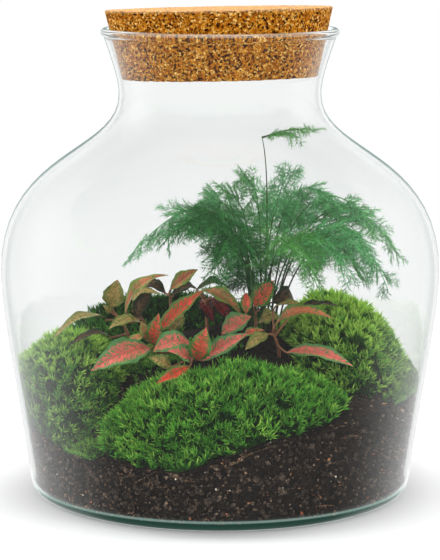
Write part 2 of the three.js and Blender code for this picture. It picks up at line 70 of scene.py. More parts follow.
def srgb(red: int, green: int, blue: int) -> Colour:
    """Turns a display colour into linear light.

    Args:
        red: Red from 0 to 255.
        green: Green from 0 to 255.
        blue: Blue from 0 to 255.

    Returns:
        The colour in linear light, with full alpha.
    """
    parts = [value / 255 for value in (red, green, blue)]
    linear = [part / 12.92 if part <= 0.04045 else ((part + 0.055) / 1.055) ** 2.4 for part in parts]
    return (linear[0], linear[1], linear[2], 1.0)


def rgb(colour: Colour) -> np.ndarray:
    """Gives a colour without its alpha."""
    return np.array(colour[:3])


def bezier(corners: Any, shares: np.ndarray) -> Points:
    """Gives points along a Bézier curve of any degree.

    Args:
        corners: The curve's control points.
        shares: How far along the curve each point is, from 0 to 1.

    Returns:
        One point a row.
    """
    rows = [np.tile(np.array(corner, float), (len(shares), 1)) for corner in corners]
    while len(rows) > 1:
        rows = [near + (far - near) * shares[:, None] for near, far in zip(rows, rows[1:])]
    return rows[0]


def smoothstep(low: float, high: float, values: Any) -> np.ndarray:
    """Rises smoothly from 0 at low to 1 at high."""
    share = np.clip((np.asarray(values, float) - low) / (high - low), 0, 1)
    return share * share * (3 - 2 * share)


def unit(vectors: np.ndarray) -> np.ndarray:
    """Scales vectors to length 1."""
    return vectors / np.maximum(np.linalg.norm(vectors, axis=-1, keepdims=True), 1e-9)


def lumps(points: Points, size: float, depth: int = 2) -> np.ndarray:
    """Gives smooth noise at points.

    Args:
        points: Points in millimetres.
        size: The size of one lump in millimetres.
        depth: How many finer layers are added.

    Returns:
        One value a point, mostly from -1 to 1.
    """
    return np.array([noise.fractal(Vector(point) / size, 1.0, 2.0, depth) for point in points.tolist()])


def turned_at_random(count: int, rng: Rng) -> np.ndarray:
    """Gives random rotation matrices.

    Args:
        count: How many are wanted.
        rng: The seeded source of numbers.

    Returns:
        An array of count matrices.
    """
    w, x, y, z = unit(rng.normal(size=(count, 4))).T
    rows = [
        [1 - 2 * (y * y + z * z), 2 * (x * y - z * w), 2 * (x * z + y * w)],
        [2 * (x * y + z * w), 1 - 2 * (x * x + z * z), 2 * (y * z - x * w)],
        [2 * (x * z - y * w), 2 * (y * z + x * w), 1 - 2 * (x * x + y * y)],
    ]
    return np.moveaxis(np.array(rows), 2, 0)


def sideways(headings: np.ndarray, rng: Rng) -> np.ndarray:
    """Gives a random direction square to each heading.

    Args:
        headings: Directions of length 1.
        rng: The seeded source of numbers.

    Returns:
        Directions of length 1.
    """
    return unit(np.cross(headings, rng.normal(size=headings.shape)))


def level_ring(turns: np.ndarray) -> np.ndarray:
    """Gives the level direction at each turn round the Z axis, in radians."""
    return np.stack([np.cos(turns), np.sin(turns), 0 * turns], 1)


def drawn_in(points: Points, shares: np.ndarray) -> Points:
    """Moves each point towards the Z axis, to a share of its distance from it."""
    return points * np.stack([shares, shares, np.ones_like(shares)], 1)


# Meshes


@dataclass
class Shape:
    """Points and triangles gathered for one mesh, with values kept for its finishes to read."""

    points: list[np.ndarray] = field(default_factory=list)
    faces: list[np.ndarray] = field(default_factory=list)
    slots: list[np.ndarray] = field(default_factory=list)
    values: dict[str, list[tuple[int, np.ndarray]]] = field(default_factory=dict)
    count: int = 0

    def add(self, points: Points, faces: np.ndarray, slot: int = 0, **values: Any) -> None:
        """Adds points and the triangles between them.

        Args:
            points: One point a row.
            faces: One triangle a row, counted from the first of these points.
            slot: Which of the mesh's finishes covers them.
            **values: For each name, one number or one triple a point, or one for them all.
        """
        points = np.asarray(points, float).reshape(-1, 3)
        faces = np.asarray(faces, int).reshape(-1, 3)
        self.points.append(points)
        self.faces.append(faces + self.count)
        self.slots.append(np.full(len(faces), slot))
        for name, value in values.items():
            value = np.asarray(value, float)
            if value.shape[:1] != (len(points),):
                value = np.tile(value, (len(points),) + (1,) * value.ndim)
            self.values.setdefault(name, []).append((self.count, value))
        self.count += len(points)

    def build(self, name: str, finishes: list[Material]) -> Object:
        """Makes the mesh and its object.

        Args:
            name: The piece's name.
            finishes: The materials, in the order of the slots.

        Returns:
            The new object, placed in the scene.
        """
        mesh = bpy.data.meshes.new(name)
        faces = np.concatenate(self.faces)
        mesh.vertices.add(self.count)
        mesh.vertices.foreach_set("co", (np.concatenate(self.points) * MM).astype(np.float32).ravel())
        mesh.loops.add(len(faces) * 3)
        mesh.loops.foreach_set("vertex_index", faces.astype(np.int32).ravel())
        mesh.polygons.add(len(faces))
        mesh.polygons.foreach_set("loop_start", np.arange(0, len(faces) * 3, 3, dtype=np.int32))
        mesh.polygons.foreach_set("material_index", np.concatenate(self.slots).astype(np.int32))
        mesh.polygons.foreach_set("use_smooth", np.ones(len(faces), bool))
        for label, parts in self.values.items():
            wide = parts[0][1].ndim > 1
            whole = np.zeros((self.count, 3) if wide else self.count, np.float32)
            for start, value in parts:
                whole[start : start + len(value)] = value
            kept = mesh.attributes.new(label, "FLOAT_VECTOR" if wide else "FLOAT", "POINT")
            kept.data.foreach_set("vector" if wide else "value", whole.ravel())
        mesh.update(calc_edges=True)
        for finish in finishes:
            mesh.materials.append(finish)
        piece = bpy.data.objects.new(name, mesh)
        bpy.context.scene.collection.objects.link(piece)
        return piece


def grid_faces(rows: int, columns: int, closed: bool = False) -> np.ndarray:
    """Gives the triangles of a grid of points kept row by row.

    Args:
        rows: How many rows of points there are.
        columns: How many points a row has.
        closed: Whether the last column joins the first.

    Returns:
        One triangle a row.
    """
    spans = columns if closed else columns - 1
    row, column = np.meshgrid(np.arange(rows - 1), np.arange(spans), indexing="ij")
    here = (row * columns + column).ravel()
    beside = (row * columns + (column + 1) % columns).ravel()
    lower = np.stack([here, beside, beside + columns], 1)
    upper = np.stack([here, beside + columns, here + columns], 1)
    return np.concatenate([lower, upper])


def turned(profile: np.ndarray, segments: int) -> Pair:
    """Turns a profile about the Z axis.

    Args:
        profile: Radius and height, one point a row, running outwards and up the outer side.
        segments: How many steps make one turn.

    Returns:
        The points and the triangles between them.
    """
    turns = np.linspace(0, 2 * math.pi, segments, endpoint=False)
    radius, height = profile[:, :1], profile[:, 1:]
    around = [radius * np.cos(turns), radius * np.sin(turns), height + 0 * turns]
    return np.stack(around, 2).reshape(-1, 3), grid_faces(len(profile), segments, closed=True)


def tube(path: Points, radii: np.ndarray, sides: int) -> Pair:
    """Makes a tube that follows a path and closes at both ends.

    Args:
        path: The middle line, one point a row.
        radii: The radius at each of those points.
        sides: How many sides the tube has.

    Returns:
        The points and the triangles between them.
    """
    ahead = unit(np.gradient(path, axis=0))
    first = np.array([1.0, 0.1, 0.05]) if abs(ahead[0][2]) > 0.5 else UP
    across = unit(np.cross(ahead, first))
    upright = np.cross(across, ahead)
    turns = np.linspace(0, 2 * math.pi, sides, endpoint=False)[None, :, None]
    ring = across[:, None] * np.cos(turns) + upright[:, None] * np.sin(turns)
    points = path[:, None] + ring * radii[:, None, None]
    points = np.concatenate([path[:1], points.reshape(-1, 3), path[-1:]])
    faces = grid_faces(len(path), sides, closed=True) + 1
    rim = np.arange(sides)
    beside = (rim + 1) % sides
    last = 1 + (len(path) - 1) * sides
    start = np.stack([0 * rim, 1 + beside, 1 + rim], 1)
    end = np.stack([0 * rim + len(points) - 1, last + rim, last + beside], 1)
    return points, np.concatenate([faces[:, ::-1], start[:, ::-1], end[:, ::-1]])


def blades(roots: Points, headings: np.ndarray, lengths: np.ndarray, widths: np.ndarray, rng: Rng) -> Pair:
    """Makes slender pointed blades, each of two triangles and widest below its middle.

    Args:
        roots: Where each blade starts.
        headings: Where each blade points.
        lengths: How long each blade is.
        widths: How wide each blade is.
        rng: The seeded source of numbers, for the way each blade faces.

    Returns:
        The points, four a blade from root to tip, and the triangles between them.
    """
    across = sideways(headings, rng) * widths[:, None] / 2
    middle = roots + headings * lengths[:, None] * WIDEST_AT
    corners = [roots, middle - across, roots + headings * lengths[:, None], middle + across]
    start = np.arange(len(roots))[:, None] * 4
    faces = np.concatenate([start + [0, 1, 2], start + [0, 2, 3]])
    return np.stack(corners, 1).reshape(-1, 3), faces


def spikes(roots: Points, headings: np.ndarray, lengths: np.ndarray, width: float) -> Pair:
    """Makes thin three-sided spikes.

    Args:
        roots: Where each spike starts.
        headings: Where each spike points.
        lengths: How long each spike is.
        width: The radius of their roots.

    Returns:
        The points and the triangles between them.
    """
    across = unit(np.cross(headings, UP + 0.01))
    upright = np.cross(across, headings)
    turns = np.radians([0, 120, 240])[None, :, None]
    ring = across[:, None] * np.cos(turns) + upright[:, None] * np.sin(turns)
    tip = (roots + headings * lengths[:, None])[:, None]
    start = np.arange(len(roots))[:, None] * 4
    faces = np.concatenate([start + [0, 1, 3], start + [1, 2, 3], start + [2, 0, 3]])
    return np.concatenate([roots[:, None] + ring * width, tip], 1).reshape(-1, 3), faces


def round_stone() -> Pair:
    """Makes a ball of radius 1 with twenty faces.

    Returns:
        Its twelve corners and the triangles between them.
    """
    golden = (1 + 5**0.5) / 2
    pairs = [(a, b * golden) for a in (-1, 1) for b in (-1, 1)]
    corners = [(0, a, b) for a, b in pairs] + [(a, b, 0) for a, b in pairs] + [(b, 0, a) for a, b in pairs]
    ball = unit(np.array(corners, float))
    near = np.linalg.norm(ball[:, None] - ball, axis=2) < 1.1
    trios = combinations(range(len(ball)), 3)
    faces = [trio for trio in trios if all(near[pair] for pair in combinations(trio, 2))]
    outwards = [t if np.linalg.det(ball[list(t)]) > 0 else (t[0], t[2], t[1]) for t in faces]
    return ball, np.array(outwards)


def stand_for(piece: Object, slot: str, *nodes: str) -> None:
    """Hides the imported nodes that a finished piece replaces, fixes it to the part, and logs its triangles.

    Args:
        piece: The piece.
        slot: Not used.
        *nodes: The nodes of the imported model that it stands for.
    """
    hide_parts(*nodes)
    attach(piece, BODY)
    log.info("%s: %d triangles", piece.name, len(piece.data.polygons))


# Finishes


class Wire:
    """One value in a finish's nodes, with arithmetic that adds the nodes behind it."""

    def __init__(self, paint: "Paint", socket: bpy.types.NodeSocket) -> None:
        """Keeps the finish that the value belongs to, and its socket."""
        self.paint = paint
        self.socket = socket

    @property
    def is_number(self) -> bool:
        """Whether the value is one number, rather than a colour or a vector."""
        return self.socket.type == "VALUE"

    def _worked(self, operation: str, first: Any, second: Any) -> "Wire":
        """Adds a Math node, or a Vector Math node where either value is a colour or a vector.

        Args:
            operation: The node's operation.
            first: A number or a wire.
            second: A number or a wire.

        Returns:
            The node's result.
        """
        kind = "ShaderNodeMath"
        for value in (first, second):
            if not (value.is_number if isinstance(value, Wire) else isinstance(value, (int, float))):
                kind = "ShaderNodeVectorMath"
        return self.paint.wire(kind, 0, {"operation": operation}, {0: first, 1: second})

    def __add__(self, other: Any) -> "Wire":
        """This value plus another."""
        return self._worked("ADD", self, other)

    def __radd__(self, other: Any) -> "Wire":
        """Another value plus this one."""
        return self._worked("ADD", other, self)

    def __sub__(self, other: Any) -> "Wire":
        """This value less another."""
        return self._worked("SUBTRACT", self, other)

    def __rsub__(self, other: Any) -> "Wire":
        """Another value less this one."""
        return self._worked("SUBTRACT", other, self)

    def __mul__(self, other: Any) -> "Wire":
        """This value times another."""
        return self._worked("MULTIPLY", self, other)

    def __rmul__(self, other: Any) -> "Wire":
        """Another value times this one."""
        return self._worked("MULTIPLY", other, self)

    def between(self, low: Any, high: Any) -> "Wire":
        """Rises smoothly from 0 at low to 1 at high."""
        settings = {"interpolation_type": "SMOOTHSTEP"}
        return self.paint.wire("ShaderNodeMapRange", "Result", settings, {"Value": self, 1: low, 2: high})

    def mix(self, low: Any, high: Any) -> "Wire":
        """Blends two colours by this value: low at 0 and high at 1."""
        return self.paint.wire("ShaderNodeMix", 2, {"data_type": "RGBA"}, {0: self, 6: low, 7: high})

    def blend(self, low: Any, high: Any) -> "Wire":
        """Blends two numbers by this value: low at 0 and high at 1."""
        return low * (1 - self) + self * high


class Paint:
    """The nodes of one finish, or of the studio's light."""

    def __init__(self, tree: bpy.types.NodeTree) -> None:
        """Empties a node tree, to be filled by node()."""
        self.tree = tree
        tree.nodes.clear()

    def node(self, kind: str, settings: dict | None = None, inputs: dict | None = None) -> bpy.types.Node:
        """Adds one node.

        Args:
            kind: The node's type.
            settings: Its own settings, which are set first, or the stops of a colour ramp.
            inputs: For each socket, by name or number, a value or a wire.

        Returns:
            The new node.
        """
        made = self.tree.nodes.new(kind)
        for key, value in (settings or {}).items():
            if key == "stops":
                self._set_stops(made.color_ramp, value)
            else:
                setattr(made, key, value)
        for key, value in (inputs or {}).items():
            socket = made.inputs[key]
            if isinstance(value, Wire):
                self.tree.links.new(value.socket, socket)
            elif socket.type in ("VECTOR", "RGBA") and isinstance(value, (int, float)):
                socket.default_value = [value] * len(socket.default_value)
            elif socket.type == "VECTOR":
                socket.default_value = value[:3]
            else:
                socket.default_value = value
        return made

    def wire(
        self, kind: str, output: int | str, settings: dict | None = None, inputs: dict | None = None
    ) -> Wire:
        """Adds one node and gives one of its outputs."""
        return Wire(self, self.node(kind, settings, inputs).outputs[output])

    def kept(self, name: str, output: str = "Fac") -> Wire:
        """Reads a value that the mesh keeps for each point."""
        return self.wire("ShaderNodeAttribute", output, {"attribute_name": name})

    def place(self) -> Wire:
        """Reads the place on the piece, in metres."""
        return self.wire("ShaderNodeTexCoord", "Object")

    def parts(self, vector: Wire) -> list[Wire]:
        """Splits a vector into its three numbers."""
        split = self.node("ShaderNodeSeparateXYZ", None, {0: vector})
        return [Wire(self, output) for output in split.outputs]

    def cloud(self, place: Wire, size: float, detail: float = 3.0, output: int | str = 0) -> Wire:
        """Reads smooth noise whose lumps have a size in millimetres."""
        inputs = {"Vector": place, "Scale": 1 / (size * MM), "Detail": detail}
        return self.wire("ShaderNodeTexNoise", output, None, inputs)

    def cells(self, place: Wire, size: float, output: str, feature: str = "F1") -> Wire:
        """Reads one output of a pattern of cells whose size is in millimetres."""
        inputs = {"Vector": place, "Scale": 1 / (size * MM)}
        return self.wire("ShaderNodeTexVoronoi", output, {"feature": feature}, inputs)

    def cell_number(self, place: Wire, size: float) -> Wire:
        """Reads a number of each cell's own, from 0 to 1."""
        return self.wire("ShaderNodeSeparateColor", 0, None, {0: self.cells(place, size, "Color")})

    def relief(self, height: Wire, depth: float) -> Wire:
        """Turns a height from 0 to 1 into a bump whose depth is in millimetres."""
        inputs = {"Height": height, "Strength": 1.0, "Distance": depth * MM}
        return self.wire("ShaderNodeBump", "Normal", None, inputs)

    def skin(self, colour: Wire, rough: Any, gloss: float = 0.5, normal: Wire | None = None) -> None:
        """Covers the piece with an opaque surface.

        Args:
            colour: Its colour.
            rough: Its roughness, a number or a wire.
            gloss: How strongly it mirrors, from 0 to 1.
            normal: Its relief, if any.
        """
        inputs = {"Base Color": colour, "Roughness": rough, "Specular IOR Level": gloss}
        if normal is not None:
            inputs["Normal"] = normal
        self.cover({"Surface": self.wire("ShaderNodeBsdfPrincipled", 0, None, inputs)})

    def cover(self, ends: dict[str, Wire]) -> None:
        """Joins the last wires to the output."""
        self.node("ShaderNodeOutputMaterial", None, ends)

    def _set_stops(self, ramp: bpy.types.ColorRamp, stops: tuple[tuple[float, Colour], ...]) -> None:
        """Sets a colour ramp's stops.

        Args:
            ramp: The ramp.
            stops: For each stop, its place from 0 to 1 and its colour.
        """
        while len(ramp.elements) < len(stops):
            ramp.elements.new(1.0)
        for element, (place, tone) in zip(ramp.elements, stops):
            element.position = place
            element.color = tone


class Finish:
    """What every finish does: it makes a material and lays its own nodes in it."""

    name: str

    def make(self) -> Material:
        """Makes the material.

        Returns:
            The material, named for the finish.
        """
        material = bpy.data.materials.new(self.name)
        material.use_nodes = True
        self.lay(Paint(material.node_tree))
        return material

    def lay(self, paint: Paint) -> None:
        """Lays the nodes, which each finish has its own."""
        raise NotImplementedError


@dataclass(frozen=True)
class ClearGlass(Finish):
    """Clear blown glass with a faint green in its depth.

    Its green foot carries painted shade and a faint painted glow, the pale line above it is a painted
    highlight, and so is the bright bead at the rim; all lie between heights in metres.
    """

    name: str = "clear_glass"
    depth_colour: Colour = (0.42, 0.64, 0.60, 1.0)
    density: float = 14.0
    index: float = 1.5
    shade: Colour = (0.985, 0.99, 0.987, 1.0)
    clear: Colour = (1.0, 1.0, 1.0, 1.0)
    foot_line: Colour = (0.86, 0.92, 0.91, 1.0)
    # Painted shade: the foot's glass is tinted nearly black-green.
    painted_foot_shade: Colour = (0.0004, 0.006, 0.0035, 1.0)
    # Painted glow: the foot gives off a faint green light of its own, though it is no lamp.
    painted_foot_glow: Colour = (0.0006, 0.026, 0.017, 1.0)
    # Painted highlight: a pale line glows just above the foot.
    painted_line_highlight: Colour = (0.09, 0.13, 0.118, 1.0)
    # Painted highlight: the bead at the rim glows pale.
    painted_rim_highlight: Colour = (0.17, 0.175, 0.168, 1.0)
    no_glow: Colour = (0.0, 0.0, 0.0, 1.0)
    foot_shade_end: Span = (0.0052, 0.006)
    highlight_line_start: Span = (0.0058, 0.0066)
    line_tint_end: Span = (0.0062, 0.0075)
    highlight_line_end: Span = (0.0072, 0.0082)
    rim_highlight_start: Span = (0.2836, 0.284)
    rim_highlight_end: Span = (0.2856, 0.286)

    def lay(self, paint: Paint) -> None:
        """Lays the nodes.

        Args:
            paint: The material's nodes.
        """
        height = paint.parts(paint.place())[2]
        tint = height.between(*self.line_tint_end).mix(self.foot_line, self.clear)
        # Painted shade and a faint painted glow cover the foot up to this height.
        low = 1 - height.between(*self.foot_shade_end)
        # Painted highlight: the pale line above the foot.
        line = height.between(*self.highlight_line_start) - height.between(*self.highlight_line_end)
        # Painted highlight: the bead at the rim.
        rim = height.between(*self.rim_highlight_start) - height.between(*self.rim_highlight_end)
        # The painted highlights, given off as light by the glass.
        painted_glow = rim.mix(line.mix(self.no_glow, self.painted_line_highlight), self.painted_rim_highlight)
        inputs = {
            "Base Color": low.mix(tint, self.painted_foot_shade),
            "Roughness": 0.0,
            "IOR": self.index,
            "Transmission Weight": 1.0,
            "Emission Color": low.mix(painted_glow, self.painted_foot_glow),
            "Emission Strength": 1.0,
        }
        surface = paint.wire("ShaderNodeBsdfPrincipled", 0, None, inputs)
        shadow = paint.wire("ShaderNodeBsdfTransparent", 0, None, {"Color": self.shade})
        for ray in ("Is Shadow Ray", "Is Diffuse Ray"):
            inputs = {0: paint.wire("ShaderNodeLightPath", ray), 1: surface, 2: shadow}
            surface = paint.wire("ShaderNodeMixShader", 0, None, inputs)
        inputs = {"Color": self.depth_colour, "Density": self.density}
        depth = paint.wire("ShaderNodeVolumeAbsorption", 0, None, inputs)
        paint.cover({"Surface": surface, "Volume": depth})


@dataclass(frozen=True)
class PressedCork(Finish):
    """Pressed cork: granules of several browns, with painted shade in crevices and pits. Sizes are in
    millimetres.
    """

    name: str = "pressed_cork"
    granule: float = 1.4
    wander: float = 0.9
    wander_size: float = 2.5
    grain_size: float = 0.7
    pit_size: float = 1.7
    pit_edge: Span = (0.54, 0.62)
    seam_width: float = 0.12
    seam_shade: float = 0.55
    pit_shade: float = 0.9
    browns: tuple[tuple[float, Colour], ...] = (
        (0.05, srgb(134, 62, 2)),
        (0.32, srgb(190, 110, 14)),
        (0.68, srgb(222, 150, 44)),
        (0.97, srgb(255, 208, 126)),
    )
    painted_crevice_shade: Colour = srgb(44, 12, 0)
    # The top face is coloured paler than the sides.
    pale_top_face: Colour = srgb(226, 182, 132)
    pale_top_cover: float = 0.6
    depth: float = 0.7

    def lay(self, paint: Paint) -> None:
        """Lays the nodes.

        Args:
            paint: The material's nodes.
        """
        place = paint.place()
        place = place + paint.cloud(place, self.wander_size, 2.0, "Color") * (self.wander * MM)
        shade = paint.cell_number(place, self.granule)
        grain = paint.cloud(place, self.grain_size, 4.0)
        brown = {0: shade * 0.8 + grain * 0.5 - 0.15}
        tone = paint.wire("ShaderNodeValToRGB", "Color", {"stops": self.browns}, brown)
        edge = paint.cells(place, self.granule, "Distance", "DISTANCE_TO_EDGE")
        seam = 1 - edge.between(0.0, self.seam_width)
        pit = paint.cloud(place, self.pit_size).between(*self.pit_edge)
        # Painted shade in the crevices between granules and in the pits, which the bump also sinks.
        crevice_shade_mask = seam * self.seam_shade + pit * self.pit_shade
        colour = crevice_shade_mask.between(0.0, 1.05).mix(tone, self.painted_crevice_shade)
        colour = (paint.kept("cut") * self.pale_top_cover).mix(colour, self.pale_top_face)
        height = grain * 0.4 + shade * 0.3 - crevice_shade_mask * 0.8
        paint.skin(colour, 0.9, 0.08, paint.relief(height, self.depth))


@dataclass(frozen=True)
class LooseGrit(Finish):
    """Soil, crumbs, chips and twigs: each point's own tone, broken up by fine grain and damp patches."""

    name: str = "potting_soil"
    wet: Colour = srgb(24, 18, 14)
    grain_size: float = 0.9
    damp_size: float = 14.0
    damp_cover: float = 0.4
    crumb_size: float = 1.5
    pebble_size: float = 1.6
    depth: float = 0.5

    def lay(self, paint: Paint) -> None:
        """Lays the nodes.

        Args:
            paint: The material's nodes.
        """
        place = paint.place()
        tone = paint.kept("tone", "Color")
        grain = paint.cloud(place, self.grain_size, 4.0)
        damp = paint.cloud(place, self.damp_size, 2.0).between(0.35, 0.65)
        crumb = paint.cell_number(place, self.crumb_size)
        colour = grain.between(0.34, 0.60).mix(tone * 0.3, tone * 1.2)
        colour = colour * (crumb.between(0.1, 0.9) * 1.1 + 0.5)
        colour = (damp * self.damp_cover).mix(colour, self.wet)
        rough = 0.95 - damp * 0.2
        pebbles = paint.cells(place, self.pebble_size, "Distance")
        paint.skin(colour, rough, 0.06, paint.relief(grain + pebbles * -0.6, self.depth))


@dataclass(frozen=True)
class MossGreen(Finish):
    """Living moss, from shaded roots to bright tips."""

    name: str = "moss"
    root: Colour = srgb(14, 38, 8)
    middle: Colour = srgb(50, 113, 28)
    tip: Colour = srgb(103, 190, 60)
    bright_tip: Colour = srgb(204, 242, 108)
    middle_at: float = 0.55
    tip_from: float = 0.35

    def lay(self, paint: Paint) -> None:
        """Lays the nodes.

        Args:
            paint: The material's nodes.
        """
        rise = paint.kept("rise")
        end = paint.kept("tone").mix(self.tip, self.bright_tip)
        low = rise.between(0.0, self.middle_at).mix(self.root, self.middle)
        paint.skin(rise.between(self.tip_from, 1.0).mix(low, end), 0.7, 0.12)


@dataclass(frozen=True)
class NettedLeaf(Finish):
    """A nerve leaf: green islands between red veins that widen towards the middle.

    The edge and the middle rib are placed by the share of the way from the middle to the margin.
    """

    name: str = "nerve_leaves"
    island: float = 2.1
    mottle_size: float = 3.0
    vein_width: float = 0.12
    green_edge: Span = (0.5, 0.84)
    middle_rib: Span = (0.03, 0.09)
    rib_cover: float = 0.7
    underside: Colour = srgb(150, 128, 84)
    depth: float = 0.35

    def lay(self, paint: Paint) -> None:
        """Lays the nodes.

        Args:
            paint: The material's nodes.
        """
        spot = paint.kept("spot", "Vector")
        vein = paint.kept("vein", "Color")
        green = paint.kept("green", "Color")
        across, redness = paint.parts(paint.kept("place", "Vector"))[1:]
        net = paint.cells(spot, self.island, "Distance", "DISTANCE_TO_EDGE")
        mottle = paint.cloud(spot, self.mottle_size, 2.0)
        reach = redness - across * across * 0.8 + mottle * 0.6 - 0.3
        line = 1 - net.between(reach * 0.2, reach * 0.2 + self.vein_width)
        colour = line.mix(green * 0.95, vein * (mottle * 1.1 + 0.68))
        colour = across.between(*self.green_edge).mix(colour, green)
        rib = 1 - across.between(*self.middle_rib)
        colour = (rib * self.rib_cover).mix(colour, vein)
        colour = paint.kept("under").mix(colour, self.underside)
        paint.skin(colour, 0.34, 0.6, paint.relief(net.between(0.0, 0.4), self.depth))


@dataclass(frozen=True)
class TonedStem(Finish):
    """A stem or needle whose tone is kept for each point, with faint streaks."""

    name: str
    rough: float = 0.5
    streak_size: float = 2.5

    def lay(self, paint: Paint) -> None:
        """Lays the nodes.

        Args:
            paint: The material's nodes.
        """
        tone = paint.kept("tone", "Color")
        streak = paint.cloud(paint.place(), self.streak_size, 2.0)
        paint.skin(tone * (streak * 0.6 + 0.7), self.rough)


@dataclass(frozen=True)
class PaleFloor(Finish):
    """A plain matt white floor."""

    name: str = "pale_floor"
    tone: Colour = (0.7, 0.7, 0.7, 1.0)

    def lay(self, paint: Paint) -> None:
        """Lays the nodes."""
        paint.cover({"Surface": paint.wire("ShaderNodeBsdfDiffuse", 0, None, {"Color": self.tone})})


# Jar and cork


@dataclass
class Jar:
    """The blown glass jar: one closed body of glass, turned from its profile of radius and height."""

    side_curves: tuple = (
        ((118.2, 10), (124, 57), (135, 112), (135, 136)),
        ((135, 136), (135, 212), (61.8, 209), (61.8, 246)),
        ((61.8, 246), (61.8, 256), (67.2, 270), (70.8, 281)),
    )
    foot_corner: tuple = ((108, 0), (116.6, 0), (118.2, 10))
    floor_corner: tuple = ((109.5, 3.6), (115, 3.6), (115.6, 12))
    hollow_foot: tuple = ((0.01, 1.2), (43, 0.8), (72, 0))
    floor: tuple = ((0.01, 3.6), (60, 3.6))
    floor_height: float = 3.6
    wall_glass: float = 2.8
    neck_glass: float = 2.3
    thinning_height: float = 190.0
    neck_height: float = 246.0
    rim_height: float = 286.0
    bead_radius: float = 2.4
    bead_centre: float = 70.2
    bead_turns: Span = (-45.0, 180.0)
    bead_steps: int = 14
    corner_steps: int = 10
    segments: int = 160
    steps: int = 18

    def side(self, inwards: bool) -> np.ndarray:
        """Gives the side's profile.

        Args:
            inwards: Whether it lies one glass thickness in.

        Returns:
            Radius and height, one point a row, from the heel up.
        """
        shares = np.linspace(0, 1, self.steps + 1)
        curves = [bezier(corners, shares) for corners in self.side_curves]
        line = np.concatenate([curves[0], *(curve[1:] for curve in curves[1:])])
        if not inwards:
            return line
        ahead = unit(np.gradient(line, axis=0))
        thinner = smoothstep(self.thinning_height, self.neck_height, line[:, 1])[:, None]
        glass = self.wall_glass + (self.neck_glass - self.wall_glass) * thinner
        return line + np.stack([-ahead[:, 1], ahead[:, 0]], 1) * glass

    def inside(self) -> np.ndarray:
        """Gives the inner profile.

        Returns:
            Radius and height, one point a row, from the middle of the floor to the rim.
        """
        corner = bezier(self.floor_corner, np.linspace(0, 1, self.corner_steps))
        wall = self.side(True)
        wall = wall[wall[:, 1] > corner[-1][1] + 0.5]
        return np.concatenate([self.floor, corner, wall])

    def wall_radius(self, heights: np.ndarray) -> np.ndarray:
        """Gives the inner radius at heights."""
        profile = self.inside()[1:]
        return np.interp(heights, profile[:, 1], profile[:, 0])

    def held_in(self, points: Points, gap: float) -> Points:
        """Draws points that would pass through the glass back inside it.

        Args:
            points: One point a row.
            gap: How far inside the glass they stay.

        Returns:
            The points, drawn in where needed.
        """
        radius = np.hypot(points[:, 0], points[:, 1])
        limit = self.wall_radius(points[:, 2]) - gap
        return drawn_in(points, np.minimum(1, limit / np.maximum(radius, 1e-6)))

    def build(self, glass: Material) -> None:
        """Builds the jar.

        Args:
            glass: Its finish.
        """
        corner = bezier(self.foot_corner, np.linspace(0, 1, self.corner_steps))
        turns = np.radians(np.linspace(*self.bead_turns, self.bead_steps))
        bead = self.bead_radius * np.stack([np.cos(turns), np.sin(turns)], 1)
        bead = bead + [self.bead_centre, self.rim_height - self.bead_radius]
        outside = [self.hollow_foot, corner, self.side(False)[1:]]
        shape = Shape()
        shape.add(*turned(np.concatenate([*outside, bead, self.inside()[::-1]]), self.segments))
        stand_for(shape.build("jar", [glass]), "jar_glass", "glass_jar")


@dataclass
class Cork:
    """The cork stopper: a tapered disc with worn edges and real pits, leaning a little."""

    bottom: float = 256.2
    lean: Span = (math.radians(-1.5), math.radians(-1.05))
    side: tuple = ((0.01, 0), (59.5, 0), (60.1, 0.8), (69.5, 41.0), (68.7, 41.8), (0.01, 41.8))
    rows: tuple[int, ...] = (12, 1, 34, 2, 46)
    segments: int = 220
    lower_face: float = 0.4
    upper_face: float = 41.4
    pale_top_from: Span = (40.6, 41.2)
    pit_size: float = 4.6
    pit_edge: Span = (0.22, 0.62)
    pit_depth: float = 1.3
    grain_size: float = 1.7
    grain_depth: float = 0.25
    smooth_middle: float = 30.0

    def build(self, cork: Material) -> None:
        """Builds the stopper.

        Args:
            cork: Its finish.
        """
        profile = [self.side[0]]
        for near, far, count in zip(self.side, self.side[1:], self.rows):
            profile += [near + np.subtract(far, near) * (i + 1) / count for i in range(count)]
        points, faces = turned(np.array(profile, float), self.segments)
        x, y, height = points.T
        radius = np.hypot(x, y)
        pits = smoothstep(*self.pit_edge, lumps(points, self.pit_size)) * self.pit_depth
        grain = self.grain_depth + self.grain_depth * lumps(points + 40, self.grain_size, 1)
        sunk = (pits + grain) * smoothstep(0, self.smooth_middle, radius)
        outwards = np.stack([x / radius, y / radius, 0 * radius], 1)
        outwards[height > self.upper_face] = UP
        outwards[height < self.lower_face] = -UP
        points = points - outwards * sunk[:, None]
        cut = smoothstep(*self.pale_top_from, points[:, 2])
        turn = np.array(Matrix.Rotation(self.lean[0], 3, "X") @ Matrix.Rotation(self.lean[1], 3, "Y"))
        shape = Shape()
        shape.add(points @ turn.T + [0, 0, self.bottom], faces, cut=cut)
        stand_for(shape.build("cork", [cork]), "stopper_cork", "cork_stopper")


# Soil


@dataclass
class Hill:
    """One rise in the soil."""

    across: float
    along: float
    height: float
    spread: float


class Grit(Enum):
    """What lies in the soil: its tone, its three sizes, and how many pieces there are."""

    DARK = (srgb(74, 62, 54), (3.2, 2.5, 2.0), 2500)
    BROWN = (srgb(98, 80, 66), (1.9, 1.6, 1.2), 3000)
    PALE = (srgb(124, 100, 80), (1.3, 1.0, 0.8), 1000)
    CHIP = (srgb(160, 112, 78), (2.6, 1.0, 0.6), 240)
    RUST = (srgb(170, 94, 60), (1.6, 0.9, 0.7), 140)
    SPECK = (srgb(236, 228, 212), (0.9, 0.7, 0.6), 120)


